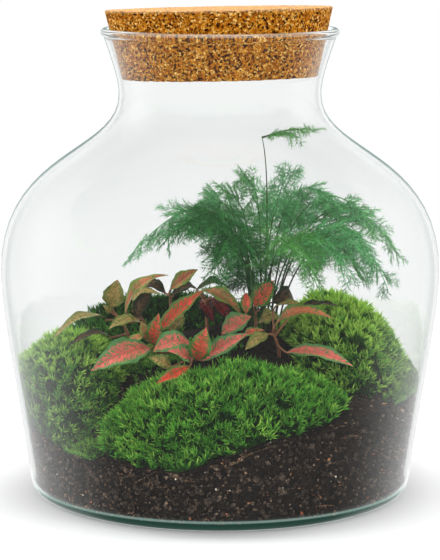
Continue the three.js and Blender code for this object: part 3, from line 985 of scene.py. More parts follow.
@dataclass
class Soil:
    """The potting soil: a bed pressed against the glass, with grit, chips and twigs in it.

    Its edge is given as the height against the glass at turns in degrees.
    """

    jar: Jar
    edge: tuple = (
        (-180, 38), (-153, 42), (-120, 35), (-100, 33), (-84, 46), (-68, 54), (-27, 65),
        (20, 70), (60, 78), (100, 80), (140, 66), (180, 38),
    )
    edge_radius: float = 120.0
    level: float = 60.0
    hills: tuple = (Hill(5, 5, 40, 48), Hill(-82, -8, 22, 24), Hill(-5, -72, 16, 24))
    ripple: float = 1.2
    ripple_lengths: Spot = (7.3, 6.1, 19.0)
    gap: float = 0.4
    turns: int = 260
    rings: int = 46
    wall_rows: int = 30
    lump_size: float = 5.0
    lump_height: float = 1.1
    wall_draw: float = 0.98
    wall_lumps: float = 0.006
    tone: Colour = srgb(44, 35, 29)
    share_on_top: float = 0.36
    grit_tones: float = 0.4
    grit_sizes: float = 0.35
    stray_twigs: int = 30
    twig_length: Span = (5.0, 13.0)
    twig_radius: Span = (0.2, 0.42)
    long_twig: tuple = ((4.0, -140.0, 40.0), (40.0, -140.0, 53.0))
    long_twig_tone: Colour = srgb(92, 72, 52)
    seed: int = 11
    shape: Shape = field(default_factory=Shape)
    rng: Rng = field(init=False)

    def __post_init__(self) -> None:
        """Starts the random numbers."""
        self.rng = np.random.default_rng(self.seed)

    def height(self, points: Points) -> np.ndarray:
        """Gives the soil's height under points.

        Args:
            points: One point a row; only the first two numbers are read.

        Returns:
            One height a point.
        """
        x, y = points[:, 0], points[:, 1]
        turn = np.degrees(np.arctan2(y, x))
        at, high = np.array(self.edge, float).T
        after = np.clip(np.searchsorted(at, turn), 1, len(at) - 1)
        share = (1 - np.cos((turn - at[after - 1]) / (at[after] - at[after - 1]) * math.pi)) / 2
        edge = high[after - 1] + (high[after] - high[after - 1]) * share
        height = self.level + (edge - self.level) * np.minimum(1, (x * x + y * y) / self.edge_radius**2)
        for hill in self.hills:
            away = (x - hill.across) ** 2 + (y - hill.along) ** 2
            height = height + hill.height * np.exp(-away / (2 * hill.spread**2))
        across, along, slant = self.ripple_lengths
        return height + self.ripple * np.sin(x / across + 1) * np.sin(y / along - x / slant)

    def foot(self, spot: Span) -> np.ndarray:
        """Gives the point where a stem leaves the soil."""
        start = np.array([*spot, 0.0])
        return start + UP * (self.height(start[None])[0] + 1)

    def rim(self, ring: np.ndarray) -> Points:
        """Finds where the soil's top meets the glass.

        Args:
            ring: Level directions.

        Returns:
            One point for each direction.
        """
        rim = ring * self.edge_radius
        for _ in range(6):
            height = self.height(rim)
            rim = ring * (self.jar.wall_radius(height) - self.gap)[:, None]
        rim[:, 2] = self.height(rim)
        return rim

    def at_wall(self, ring: np.ndarray, height: np.ndarray, gap: float) -> Points:
        """Gives points against the glass.

        Args:
            ring: Level directions.
            height: The height of each point.
            gap: How far inside the glass they stay.

        Returns:
            One point for each direction.
        """
        radius = self.jar.wall_radius(height) - gap
        return np.stack([ring[:, 0] * radius, ring[:, 1] * radius, height], 1)

    def bed(self) -> None:
        """Adds the bed's own surface: its top, its wall against the glass, and its underside."""
        turn = np.linspace(0, 2 * math.pi, self.turns, endpoint=False)
        ring = level_ring(turn)
        top = self.rim(ring)
        rows = []
        for share in np.linspace(0, 1, self.rings):
            row = drawn_in(top, np.full(self.turns, max(share, 0.001)))
            row[:, 2] = self.height(row)
            rows.append(row)
        low = self.jar.floor_height + self.gap
        for share in np.linspace(0, 1, self.wall_rows)[1:]:
            rows.append(self.at_wall(ring, top[:, 2] + (low - top[:, 2]) * share, self.gap))
        rows.append(np.stack([0 * turn, 0 * turn, 0 * turn + low], 1))
        points = np.concatenate(rows)
        rough = lumps(points, self.lump_size, 3)
        on_top = np.arange(len(points)) < self.rings * self.turns
        at_wall = self.wall_draw + self.wall_lumps * np.clip(rough, -1, 1)
        points = drawn_in(points, np.where(on_top, 1.0, at_wall))
        points[on_top, 2] += self.lump_height * rough[on_top]
        # Painted shade: the bed is darker in the hollows of its lumps and lighter on their crests.
        tone = rgb(self.tone) * (0.75 + 0.5 * np.clip(rough, -0.6, 1))[:, None]
        self.shape.add(points, grid_faces(len(rows), self.turns, closed=True)[:, ::-1], tone=tone)

    def resting(self, count: int) -> Pair:
        """Scatters places over the soil that shows: most against the glass, the rest on top.

        Args:
            count: How many places are wanted.

        Returns:
            The places, and the way that the soil faces at each.
        """
        ring = level_ring(self.rng.uniform(0, 2 * math.pi, count))
        rim = self.rim(ring)
        low = self.jar.floor_height + 1
        wall = self.at_wall(ring, low + (rim[:, 2] - low) * self.rng.uniform(0, 1, count), self.gap + 0.3)
        top = drawn_in(rim, self.rng.uniform(0.25, 0.99, count) ** 0.5)
        top[:, 2] = self.height(top) + 0.4
        on_top = (self.rng.uniform(size=count) < self.share_on_top)[:, None]
        return np.where(on_top, top, wall), np.where(on_top, UP, ring)

    def grit(self, kind: Grit) -> None:
        """Adds the pieces of one kind, each a small uneven stone.

        Args:
            kind: What they are.
        """
        tone, sizes, count = kind.value
        ball, faces = round_stone()
        corners = len(ball)
        places, outwards = self.resting(count)
        stones = ball[None] * self.rng.uniform(0.7, 1.15, (count, corners, 1))
        stones = stones * np.array(sizes) / 2 * self.rng.lognormal(0, self.grit_sizes, (count, 1, 1))
        stones = np.einsum("nij,nkj->nki", turned_at_random(count, self.rng), stones)
        deep = np.einsum("nkj,nj->nk", stones, outwards).max(1)
        places = places - outwards * (deep * self.rng.uniform(0.3, 1.0, count))[:, None]
        points = self.jar.held_in((stones + places[:, None]).reshape(-1, 3), self.gap)
        every = (np.arange(count)[:, None, None] * corners + faces[None]).reshape(-1, 3)
        tones = rgb(tone) * self.rng.lognormal(0, self.grit_tones, (count, 1))
        self.shape.add(points, every, tone=np.repeat(tones, corners, axis=0))

    def twig(self, ends: Points, bend: float, radius: float, tone: Colour) -> None:
        """Adds one twig that lies against the glass.

        Args:
            ends: Its two ends.
            bend: How far its middle is lifted.
            radius: Its radius at the thick end.
            tone: Its colour.
        """
        shares = np.linspace(0, 1, 12)
        path = ends[0] + (ends[1] - ends[0]) * shares[:, None]
        path[:, 2] += bend * np.sin(math.pi * shares) + 0.3 * np.sin(shares * 17)
        path = self.jar.held_in(path, self.gap + radius)
        points, faces = tube(path, radius * (1 - 0.5 * shares), 6)
        self.shape.add(self.jar.held_in(points, self.gap), faces, tone=rgb(tone))

    def stray_twig(self) -> None:
        """Adds one short twig at a random place on the glass."""
        turn = self.rng.uniform(0, 2 * math.pi)
        start = self.rim(np.array([[math.cos(turn), math.sin(turn), 0]]))[0]
        start[2] = self.rng.uniform(self.jar.floor_height + 4, start[2] + 1)
        away = np.array([-math.sin(turn), math.cos(turn), self.rng.uniform(-0.9, 0.9)])
        ends = np.array([start, start + away * self.rng.uniform(*self.twig_length)])
        ends[:, :2] *= 1.2
        tone = (Grit.PALE, Grit.BROWN, Grit.CHIP)[self.rng.integers(3)].value[0]
        self.twig(ends, self.rng.uniform(-1, 1), self.rng.uniform(*self.twig_radius), tone)

    def build(self, soil: Material) -> None:
        """Builds the soil.

        Args:
            soil: Its finish.
        """
        self.bed()
        for kind in Grit:
            self.grit(kind)
        for _ in range(self.stray_twigs):
            self.stray_twig()
        self.twig(np.array(self.long_twig), 2.5, 0.8, self.long_twig_tone)
        stand_for(self.shape.build("soil", [soil]), "potting_soil", "potting_soil")


# Moss


@dataclass(frozen=True)
class TuftSize:
    """One layer of tufts: its share of them all, and the sizes of their leaflets."""

    share: float
    leaflets: int
    length: Span
    width: Span
    opening: Span
    lift: float
    light: float


class MossLayer(Enum):
    """The kinds of tufts: a cushion's close ones, darkened by painted shade, the open bright stars above, and
    creeping moss.
    """

    # The last number is the painted light on each layer's tips.
    CLOSE = TuftSize(1.0, 7, (3.0, 5.0), (0.7, 1.0), (0.2, 1.2), 0.2, 0.5)
    STARS = TuftSize(0.42, 9, (5.0, 8.6), (0.9, 1.4), (0.3, 1.1), 1.8, 1.0)
    CREEPING = TuftSize(0.0, 7, (3.0, 5.6), (0.7, 1.1), (0.3, 1.2), 1.0, 0.85)


class Seam(Enum):
    """The lines on the soil where low moss creeps beside a cushion."""

    NONE = ()
    LEFT = ((-72, -88), (-84, -79), (-87, -71), (-81, -56), (-75, -43), (-66, -34), (-57, -19), (-48, -3))
    RIGHT = ((104, -62), (112, -40), (119, -16), (125, 16), (127, 42), (126, 64))
    BEHIND_CENTRE = ((-58, -26), (-40, -24), (-24, -27), (-8, -30), (6, -30))


@dataclass
class Cushion:
    """One cushion of moss, dressed with tufts of pointed leaflets."""

    node: str
    centre: Span
    reach: Span
    base: float
    top: float
    tufts: int
    # Painted light and shade: each cushion's tufts are coloured brighter or darker for how lit it is; the
    # centre and back ones are darkened as painted shade under the leaves.
    painted_light: float
    seed: int
    seam: Seam = Seam.NONE
    seam_tufts: int = 0
    # Painted light on the cushion's top; a negative value paints shade there instead.
    crown_painted_light: float = 0.0
    crown: Span = (-16.0, -2.0)
    gap: float = 0.5
    press_margin: float = 2.2
    body_depth: float = 1.5
    seam_scatter: float = 5.5
    clump_size: float = 9.0
    patch_size: float = 34.0
    root_depth: float = 1.2
    squareness: float = 0.35
    upturn: float = 0.3
    unevenness: float = 0.25
    pressed_upturn: float = 0.5
    pressed_unevenness: float = 0.35
    steepest: float = -0.15
    middle_tone: float = 0.42
    clump_contrast: float = 0.5
    patch_contrast: float = 0.30
    tuft_scatter: float = 0.2
    leaflet_scatter: float = 0.26
    crown_painted_rise: float = 0.35
    rise: tuple[float, ...] = (0.1, 0.55, 1.0, 0.55)
    shape: Shape = field(default_factory=Shape)
    rng: Rng = field(init=False)

    def __post_init__(self) -> None:
        """Starts the random numbers."""
        self.rng = np.random.default_rng(self.seed)

    def outwards(self, points: Points) -> np.ndarray:
        """Gives the direction out of the cushion.

        Args:
            points: One point a row.

        Returns:
            One direction a point.
        """
        middle = np.array([*self.centre, self.base - 10])
        size = np.array([*self.reach, self.top - self.base + 10])
        return unit((points - middle) / size**2)

    def solid(self) -> Pair:
        """Reads the cushion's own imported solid.

        Returns:
            Its points in millimetres, and its triangles.
        """
        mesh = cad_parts[self.node].data
        mesh.calc_loop_triangles()
        points = np.zeros(len(mesh.vertices) * 3, np.float32)
        faces = np.zeros(len(mesh.loop_triangles) * 3, np.int32)
        mesh.vertices.foreach_get("co", points)
        mesh.loop_triangles.foreach_get("vertices", faces)
        return points.reshape(-1, 3).astype(float) / MM, faces.reshape(-1, 3)

    def build(self, jar: Jar, soil: Soil, moss: Material) -> None:
        """Builds the cushion.

        Args:
            jar: The jar that it is pressed against.
            soil: The soil that its moss creeps over.
            moss: Its finish.
        """
        points, faces = self.solid()
        self.shape.add(points - self.outwards(points) * self.body_depth, faces, rise=0.1, tone=0.2)
        for layer in (MossLayer.CLOSE, MossLayer.STARS):
            roots, facing = self.scattered(points[faces], int(self.tufts * layer.value.share))
            self.tuft(jar, roots, facing, layer)
        if self.seam is not Seam.NONE:
            roots = self.along_seam(soil)
            self.tuft(jar, roots, np.tile(UP, (len(roots), 1)), MossLayer.CREEPING)
        stand_for(self.shape.build(self.node + "_tufts", [moss]), "moss", self.node)

    def along_seam(self, soil: Soil) -> Points:
        """Scatters places on the soil along the seam, where low moss creeps.

        Args:
            soil: The soil.

        Returns:
            The places.
        """
        line = np.array(self.seam.value, float)
        share = self.rng.uniform(0, len(line) - 1.001, self.seam_tufts)
        part = share.astype(int)
        places = line[part] + (line[part + 1] - line[part]) * (share - part)[:, None]
        places = places + self.rng.normal(scale=self.seam_scatter, size=places.shape)
        places = np.column_stack([places, np.zeros(len(places))])
        places[:, 2] = soil.height(places) + 0.6
        return places

    def scattered(self, corners: np.ndarray, count: int) -> Pair:
        """Scatters places evenly over the cushion's upper side.

        Args:
            corners: The three corners of each triangle.
            count: How many places are wanted.

        Returns:
            The places, and the way that the surface faces at each.
        """
        square = np.cross(corners[:, 1] - corners[:, 0], corners[:, 2] - corners[:, 0])
        area = np.linalg.norm(square, axis=1) / 2
        facing = unit(square)
        area[facing[:, 2] < self.steepest] = 0
        steps = (np.arange(count) + self.rng.uniform(size=count)) * (area.sum() / count)
        chosen = np.minimum(np.searchsorted(np.cumsum(area), steps), len(corners) - 1)
        share = self.rng.uniform(size=(count, 2))
        share = np.where(share.sum(1, keepdims=True) > 1, 1 - share, share)
        near, left, right = corners[chosen].swapaxes(0, 1)
        return near + (left - near) * share[:, :1] + (right - near) * share[:, 1:], facing[chosen]

    def tuft(self, jar: Jar, roots: Points, facing: np.ndarray, layer: MossLayer) -> None:
        """Adds tufts, each a ring of leaflets that open from one point.

        Tufts that touch the glass lie flat along it. Clumps differ in height, and painted shade darkens the
        low ones; wider patches differ in tone.

        Args:
            jar: The jar that holds them in.
            roots: Where the tufts stand.
            facing: The way that the cushion faces there.
            layer: What kind they are.
        """
        size = layer.value
        count = len(roots)
        uneven = self.rng.normal(scale=self.unevenness, size=(count, 3))
        heading = self.outwards(roots) + self.squareness * facing + self.upturn * UP + uneven
        radius = np.hypot(roots[:, 0], roots[:, 1])
        pressed = radius > jar.wall_radius(roots[:, 2]) - self.press_margin
        radial = unit(roots * [1, 1, 0])
        flat = heading - radial * (heading * radial).sum(1, keepdims=True)
        uneven = self.rng.normal(scale=self.pressed_unevenness, size=(count, 3))
        flat = unit(flat) + uneven + self.pressed_upturn * UP
        heading = unit(np.where(pressed[:, None], flat, heading))
        clump = lumps(roots, self.clump_size, 2)
        lift = np.where(pressed, 0.0, size.lift * (1 + np.clip(clump, -1, 1)))
        roots = roots + heading * lift[:, None]
        # Painted shade: tufts low among the clumps are darker, those on top lighter.
        tone = self.middle_tone + self.clump_contrast * clump
        tone = np.clip(tone + self.rng.normal(scale=self.tuft_scatter, size=count), 0, 1)
        patches = self.patch_contrast * lumps(roots + 300, self.patch_size, 1)
        # Painted light: each cushion's own level, plus patches of tone.
        tone = tone * self.painted_light + patches
        crown_low, crown_high = (self.top + part for part in self.crown)
        # Painted light on the crown; painted shade where the value is negative.
        crown = self.crown_painted_light * smoothstep(crown_low, crown_high, roots[:, 2])
        tone = np.clip(tone + crown, 0, 1)
        each = np.repeat(np.arange(count), size.leaflets)
        open_out = self.rng.uniform(*size.opening, len(each))
        spread = unit(heading[each] + sideways(heading[each], self.rng) * open_out[:, None])
        length = self.rng.uniform(*size.length, len(each)) * (1.15 - 0.25 * open_out)
        width = self.rng.uniform(*size.width, len(each))
        points, faces = blades(roots[each] - spread * self.root_depth, spread, length, width, self.rng)
        corners = len(self.rise)
        rise = np.tile(self.rise, len(each)) * size.light
        rise = rise * np.repeat(np.where(pressed, 0.95, 1.0)[each], corners)
        # Painted shade: the tips of tufts low among the clumps are darker too.
        rise = rise * np.repeat(0.75 + 0.25 * np.clip(0.5 + clump, 0, 1)[each], corners)
        rise = np.minimum(1, rise + self.crown_painted_rise * np.repeat(crown[each], corners))
        shade = np.clip(tone[each] + self.rng.normal(scale=self.leaflet_scatter, size=len(each)), 0, 1)
        self.shape.add(jar.held_in(points, self.gap), faces, rise=rise, tone=np.repeat(shade, corners))


def moss_cushions() -> list[Cushion]:
    """Lists the cushions of moss, with their places and sizes.

    Returns:
        The cushions, with each one's seam.
    """
    return [
        Cushion("moss_left", (-98, -10), (48, 66), 20, 92, 1900, 1.5, 21, Seam.LEFT, 640, 0.3),
        Cushion("moss_right", (80, 22), (46, 92), 40, 106, 2300, 2.1, 22, Seam.RIGHT, 520, 0.5),
        Cushion("moss_centre", (6, -62), (88, 62), 20, 83, 2700, 0.5, 23, Seam.BEHIND_CENTRE, 380),
        Cushion("moss_back", (-30, 82), (95, 52), 40, 101, 2000, 0.2, 24, crown_painted_light=-1.0),
    ]


# Nerve plant


class LeafTone(Enum):
    """The colours of a nerve leaf: its veins, its green, and how far the red spreads."""

    OLIVE = (srgb(164, 134, 78), srgb(112, 124, 52), 0.42)
    DARK = (srgb(90, 60, 38), srgb(24, 46, 20), 0.40)
    ORANGE = (srgb(180, 96, 62), srgb(90, 128, 54), 0.66)
    PINK = (srgb(200, 94, 82), srgb(84, 140, 76), 0.74)
    RED = (srgb(196, 60, 40), srgb(88, 124, 50), 0.78)
    BRIGHT = (srgb(204, 82, 58), srgb(84, 136, 58), 0.76)
    EDGED = (srgb(180, 104, 72), srgb(124, 156, 70), 0.56)
    # Painted shade: a darkened red for leaves that lie in the shade of others.
    DEEP = (srgb(112, 8, 10), srgb(22, 20, 10), 0.85)


@dataclass
class Leaf:
    """One leaf: its two ends, width, arch over the chord, and turn in degrees from facing up to front."""

    base: Spot
    tip: Spot
    width: float
    arch: float
    face_turn: float
    tone: LeafTone


@dataclass
class NerveShoot:
    """One leafy shoot of the nerve plant, with its stem, stalks and netted leaves."""

    number: int
    foot: Span
    top: Spot
    leaves: tuple[Leaf, ...]
    stem_radius: float = 1.2
    stalk_radii: Span = (0.75, 0.5)
    stalk_tone: Colour = srgb(150, 98, 66)
    stalk_shades: tuple[float, ...] = (0.8, 1.0, 1.1)
    root_depth: float = 13.0
    stem_steps: int = 14
    cup: float = 0.36
    slimness: float = 0.92
    narrowest: float = 0.35
    wave_depth: float = 0.09
    vein_step: float = 3.3
    vein_slant: float = 0.9
    quilt_depth: float = 0.34
    rib_depth: float = 0.5
    rib_width: float = 0.13
    thickness: float = 0.5
    net_stretch: Span = (1.3, 0.8)
    stations: int = 30
    across: int = 12
    shape: Shape = field(default_factory=Shape)

    def blade(self, leaf: Leaf, seed: int) -> None:
        """Adds one leaf's blade: two faces that meet at the margin.

        Points lie at shares t of the length and e of the half width, which is negative on one side.

        Args:
            leaf: The leaf.
            seed: A number of its own, which shifts its net of veins.
        """
        base = np.array(leaf.base, float)
        along = np.array(leaf.tip, float) - base
        length = np.linalg.norm(along)
        facing = math.radians(leaf.face_turn)
        side = unit(np.cross([0, -math.sin(facing), math.cos(facing)], along))
        upwards = np.cross(unit(along), side)
        stations, columns = np.linspace(0, 1, self.stations), np.linspace(-1, 1, self.across + 1)
        t, e = (values.ravel() for values in np.meshgrid(stations, columns, indexing="ij"))
        out = np.abs(e)
        swell = np.sin(math.pi * t)
        half = leaf.width * self.slimness / 2 * np.sin(math.pi * t**0.9) ** 0.88
        half = np.maximum(self.narrowest, half) * (1 + 0.04 * np.sin(t * 31 + seed))
        wave = np.sin(t * 12 + seed * 1.7 + np.where(e > 0, 0, 1.9))
        wave = self.wave_depth * leaf.width * swell * wave * out**2
        vein_run = t * length - out * half * self.vein_slant
        quilt = np.cos(vein_run / self.vein_step * 2 * math.pi)
        quilt = self.quilt_depth * swell * quilt * np.sin(math.pi * out) ** 0.7
        quilt = quilt - self.rib_depth * swell * np.exp(-((e / self.rib_width) ** 2))
        lift = out * self.cup * half + wave + quilt + leaf.arch * 4 * t * (1 - t)
        middle = base + along * t[:, None] + side * (e * half)[:, None] + upwards * lift[:, None]
        thick = (self.thickness / 2 * (1 - e**2) * (0.3 + 0.7 * swell))[:, None] * upwards
        vein, green, redness = leaf.tone.value
        far, wide = self.net_stretch
        looks = {
            "place": np.stack([t, out, 0 * t + redness], 1),
            "spot": np.stack([vein_run * far, e * half * wide, 0 * t + seed * 50.0], 1) * MM,
            "vein": rgb(vein),
            "green": rgb(green),
        }
        faces = grid_faces(self.stations, self.across + 1)
        self.shape.add(middle + thick, faces[:, ::-1], under=0.0, **looks)
        self.shape.add(middle - thick, faces, under=1.0, **looks)

    def build(self, soil: Soil, leaf_skin: Material, stem_skin: Material) -> None:
        """Builds the shoot.

        Args:
            soil: The soil that it stands in.
            leaf_skin: The leaves' finish.
            stem_skin: The finish of its stem and stalks.
        """
        foot = soil.foot(self.foot)
        crown = np.array(self.top, float)
        bend = (foot + crown) / 2
        bend[0] = (2 * foot[0] + crown[0]) / 3
        shares = np.linspace(0, 1, self.stem_steps)
        rising = bezier([foot, bend * 2 - (foot + crown) / 2, crown], shares)
        path = np.concatenate([[foot - [0, 0, self.root_depth]], rising])
        points, faces = tube(path, self.stem_radius * np.concatenate([[1], 1 - 0.35 * shares]), 8)
        tone = rgb(self.stalk_tone)
        self.shape.add(points, faces, 1, tone=tone)
        for order, leaf in enumerate(self.leaves):
            share = np.clip((leaf.base[2] - 2 - bend[2]) / (crown[2] - bend[2]), 0.1, 0.95)
            joint = rising[int(round((0.5 + share / 2) * (self.stem_steps - 1)))]
            base = np.array(leaf.base, float)
            rib = np.array(leaf.tip, float) - base
            line = bezier([joint, base - unit(rib) * 2, base + rib * 0.06], np.linspace(0, 1, 8))
            points, faces = tube(line, np.linspace(*self.stalk_radii, 8), 6)
            self.shape.add(points, faces, 1, tone=tone * self.stalk_shades[order % len(self.stalk_shades)])
            self.blade(leaf, self.number * 10 + order)
        piece = self.shape.build(f"nerve_plant_{self.number}", [leaf_skin, stem_skin])
        stand_for(piece, "nerve_leaves", f"nerve_shoot_{self.number}")


def nerve_shoots() -> list[NerveShoot]:
    """Lists the nerve plant's shoots.

    Returns:
        The shoots, in the order of their nodes.
    """
    tone = LeafTone
    return [
        NerveShoot(1, (-54, -4), (-62, -6, 108), (
            Leaf((-67, -4, 114), (-63, -8, 132), 15, 1, 80, tone.OLIVE),
            Leaf((-69, -6, 107), (-101, -34, 100), 9, 8, 18, tone.OLIVE),
            Leaf((-66, -18, 98), (-90, -44, 98), 8, 5, 22, tone.DARK),
            Leaf((-49, -14, 107), (-68, -24, 104), 10, 4, 32, tone.OLIVE),
            Leaf((-67, -5, 111), (-72, -8, 116), 5, 1, 70, tone.OLIVE),
        )),
        NerveShoot(2, (-42, 2), (-50, -4, 110), (
            Leaf((-59, 4, 109), (-32, 10, 132), 11, 9, 22, tone.EDGED),
            Leaf((-54, -9, 113), (-36, -14, 124), 10, 8, 25, tone.OLIVE),
            Leaf((-52, -13, 109), (-42, -9, 127), 10, 3, 60, tone.DARK),
        )),
        NerveShoot(3, (-34, -12), (-41, -24, 97), (
            Leaf((-39, -22, 101), (-10, -30, 129), 12, 2, 46, tone.RED),
            Leaf((-41, -28, 96), (-37, -36, 116), 11, 2, 75, tone.BRIGHT),
            Leaf((-44, -28, 99), (-56, -36, 93), 8, 5, 22, tone.EDGED),
            Leaf((-42, -34, 94), (-77, -52, 84), 19, 8, 56, tone.PINK),
            Leaf((-31, -20, 102), (-23, -14, 113), 12, 2, 70, tone.OLIVE),
            Leaf((-43, -27, 97), (-48, -30, 110), 8, 1, 75, tone.EDGED),
        )),
        NerveShoot(4, (-16, -35), (-17, -41, 93), (
            Leaf((-40, -44, 94), (-17, -40, 98), 15, 8, 50, tone.PINK),
            Leaf((-14, -50, 90), (-8, -56, 111), 15, 3, 72, tone.BRIGHT),
            Leaf((-11, -42, 88), (17, -44, 105), 12, 3, 52, tone.PINK),
            Leaf((-19, -50, 89), (-31, -62, 98), 12, 4, 50, tone.PINK),
            Leaf((-18, -60, 88), (-37, -84, 83), 9, 1, 66, tone.RED),
            Leaf((-29, -60, 88), (-42, -66, 95), 9, 2, 60, tone.OLIVE),
        )),
        NerveShoot(5, (-8, -2), (-9, -3, 119), (
            Leaf((-12, -6, 125), (13, -14, 111), 12, 6, 32, tone.EDGED),
            Leaf((-11, 4, 118), (-4, -10, 106), 12, 3, 60, tone.DEEP),
            Leaf((-5, -4, 120), (7, -20, 108), 12, 3, 55, tone.DEEP),
            Leaf((-15, 6, 123), (7, 14, 121), 10, 6, 18, tone.DARK),
        )),
        NerveShoot(6, (6, -18), (4, -26, 100), (
            Leaf((1, -27, 102), (19, -24, 112), 14, 3, 55, tone.PINK),
            Leaf((13, -31, 100), (27, -33, 105), 7, 2, 35, tone.BRIGHT),
            Leaf((16, -20, 113), (16, -14, 125), 8, 2, 78, tone.BRIGHT),
        )),
        NerveShoot(7, (22, -10), (22, -11, 112), (
            Leaf((21, -12, 116), (33, -12, 132), 15, 2, 65, tone.BRIGHT),
            Leaf((32, -8, 118), (46, -6, 117), 14, 8, 55, tone.DARK),
            Leaf((24, -17, 107), (37, -20, 110), 12, 3, 40, tone.OLIVE),
        )),
        NerveShoot(8, (36, -24), (33, -31, 101), (
            Leaf((32, -33, 106), (67, -46, 115), 13, 9, 32, tone.ORANGE),
            Leaf((40, -37, 92), (79, -58, 88), 12, 6, 40, tone.PINK),
            Leaf((29, -39, 104), (15, -49, 96), 9, 3, 50, tone.OLIVE),
            Leaf((33, -24, 118), (54, -28, 117), 7, 3, 18, tone.OLIVE),
            Leaf((49, -12, 116), (73, -6, 115), 7, 2, 18, tone.DARK),
        )),
        NerveShoot(9, (-31, 12), (-31, 10, 118), (
            Leaf((-31, 9, 123), (-14, 14, 135), 10, 2, 50, tone.EDGED),
            Leaf((-34, 14, 120), (-50, 22, 121), 12, 5, 30, tone.DARK),
            Leaf((-30, 14, 118), (-13, 26, 119), 12, 5, 20, tone.DARK),
        )),
    ]


# Asparagus fern


class FernTone(Enum):
    """The greens of a frond's needles."""

    BLUISH = srgb(104, 182, 114)
    FRESH = srgb(104, 180, 88)
    SHADED = srgb(54, 134, 60)
    PALE = srgb(118, 190, 118)


class StemTone(Enum):
    """The tones of a frond's stem."""

    GREEN = srgb(70, 92, 44)
    BROWN = srgb(60, 46, 32)


@dataclass
class Stem:
    """One bent stem: three curve points after its start, where it turns leafy, its spread and its droop."""

    near: Spot
    arch: Spot
    tip: Spot
    leaf_from: float
    spread: float
    droop: float = 0.55


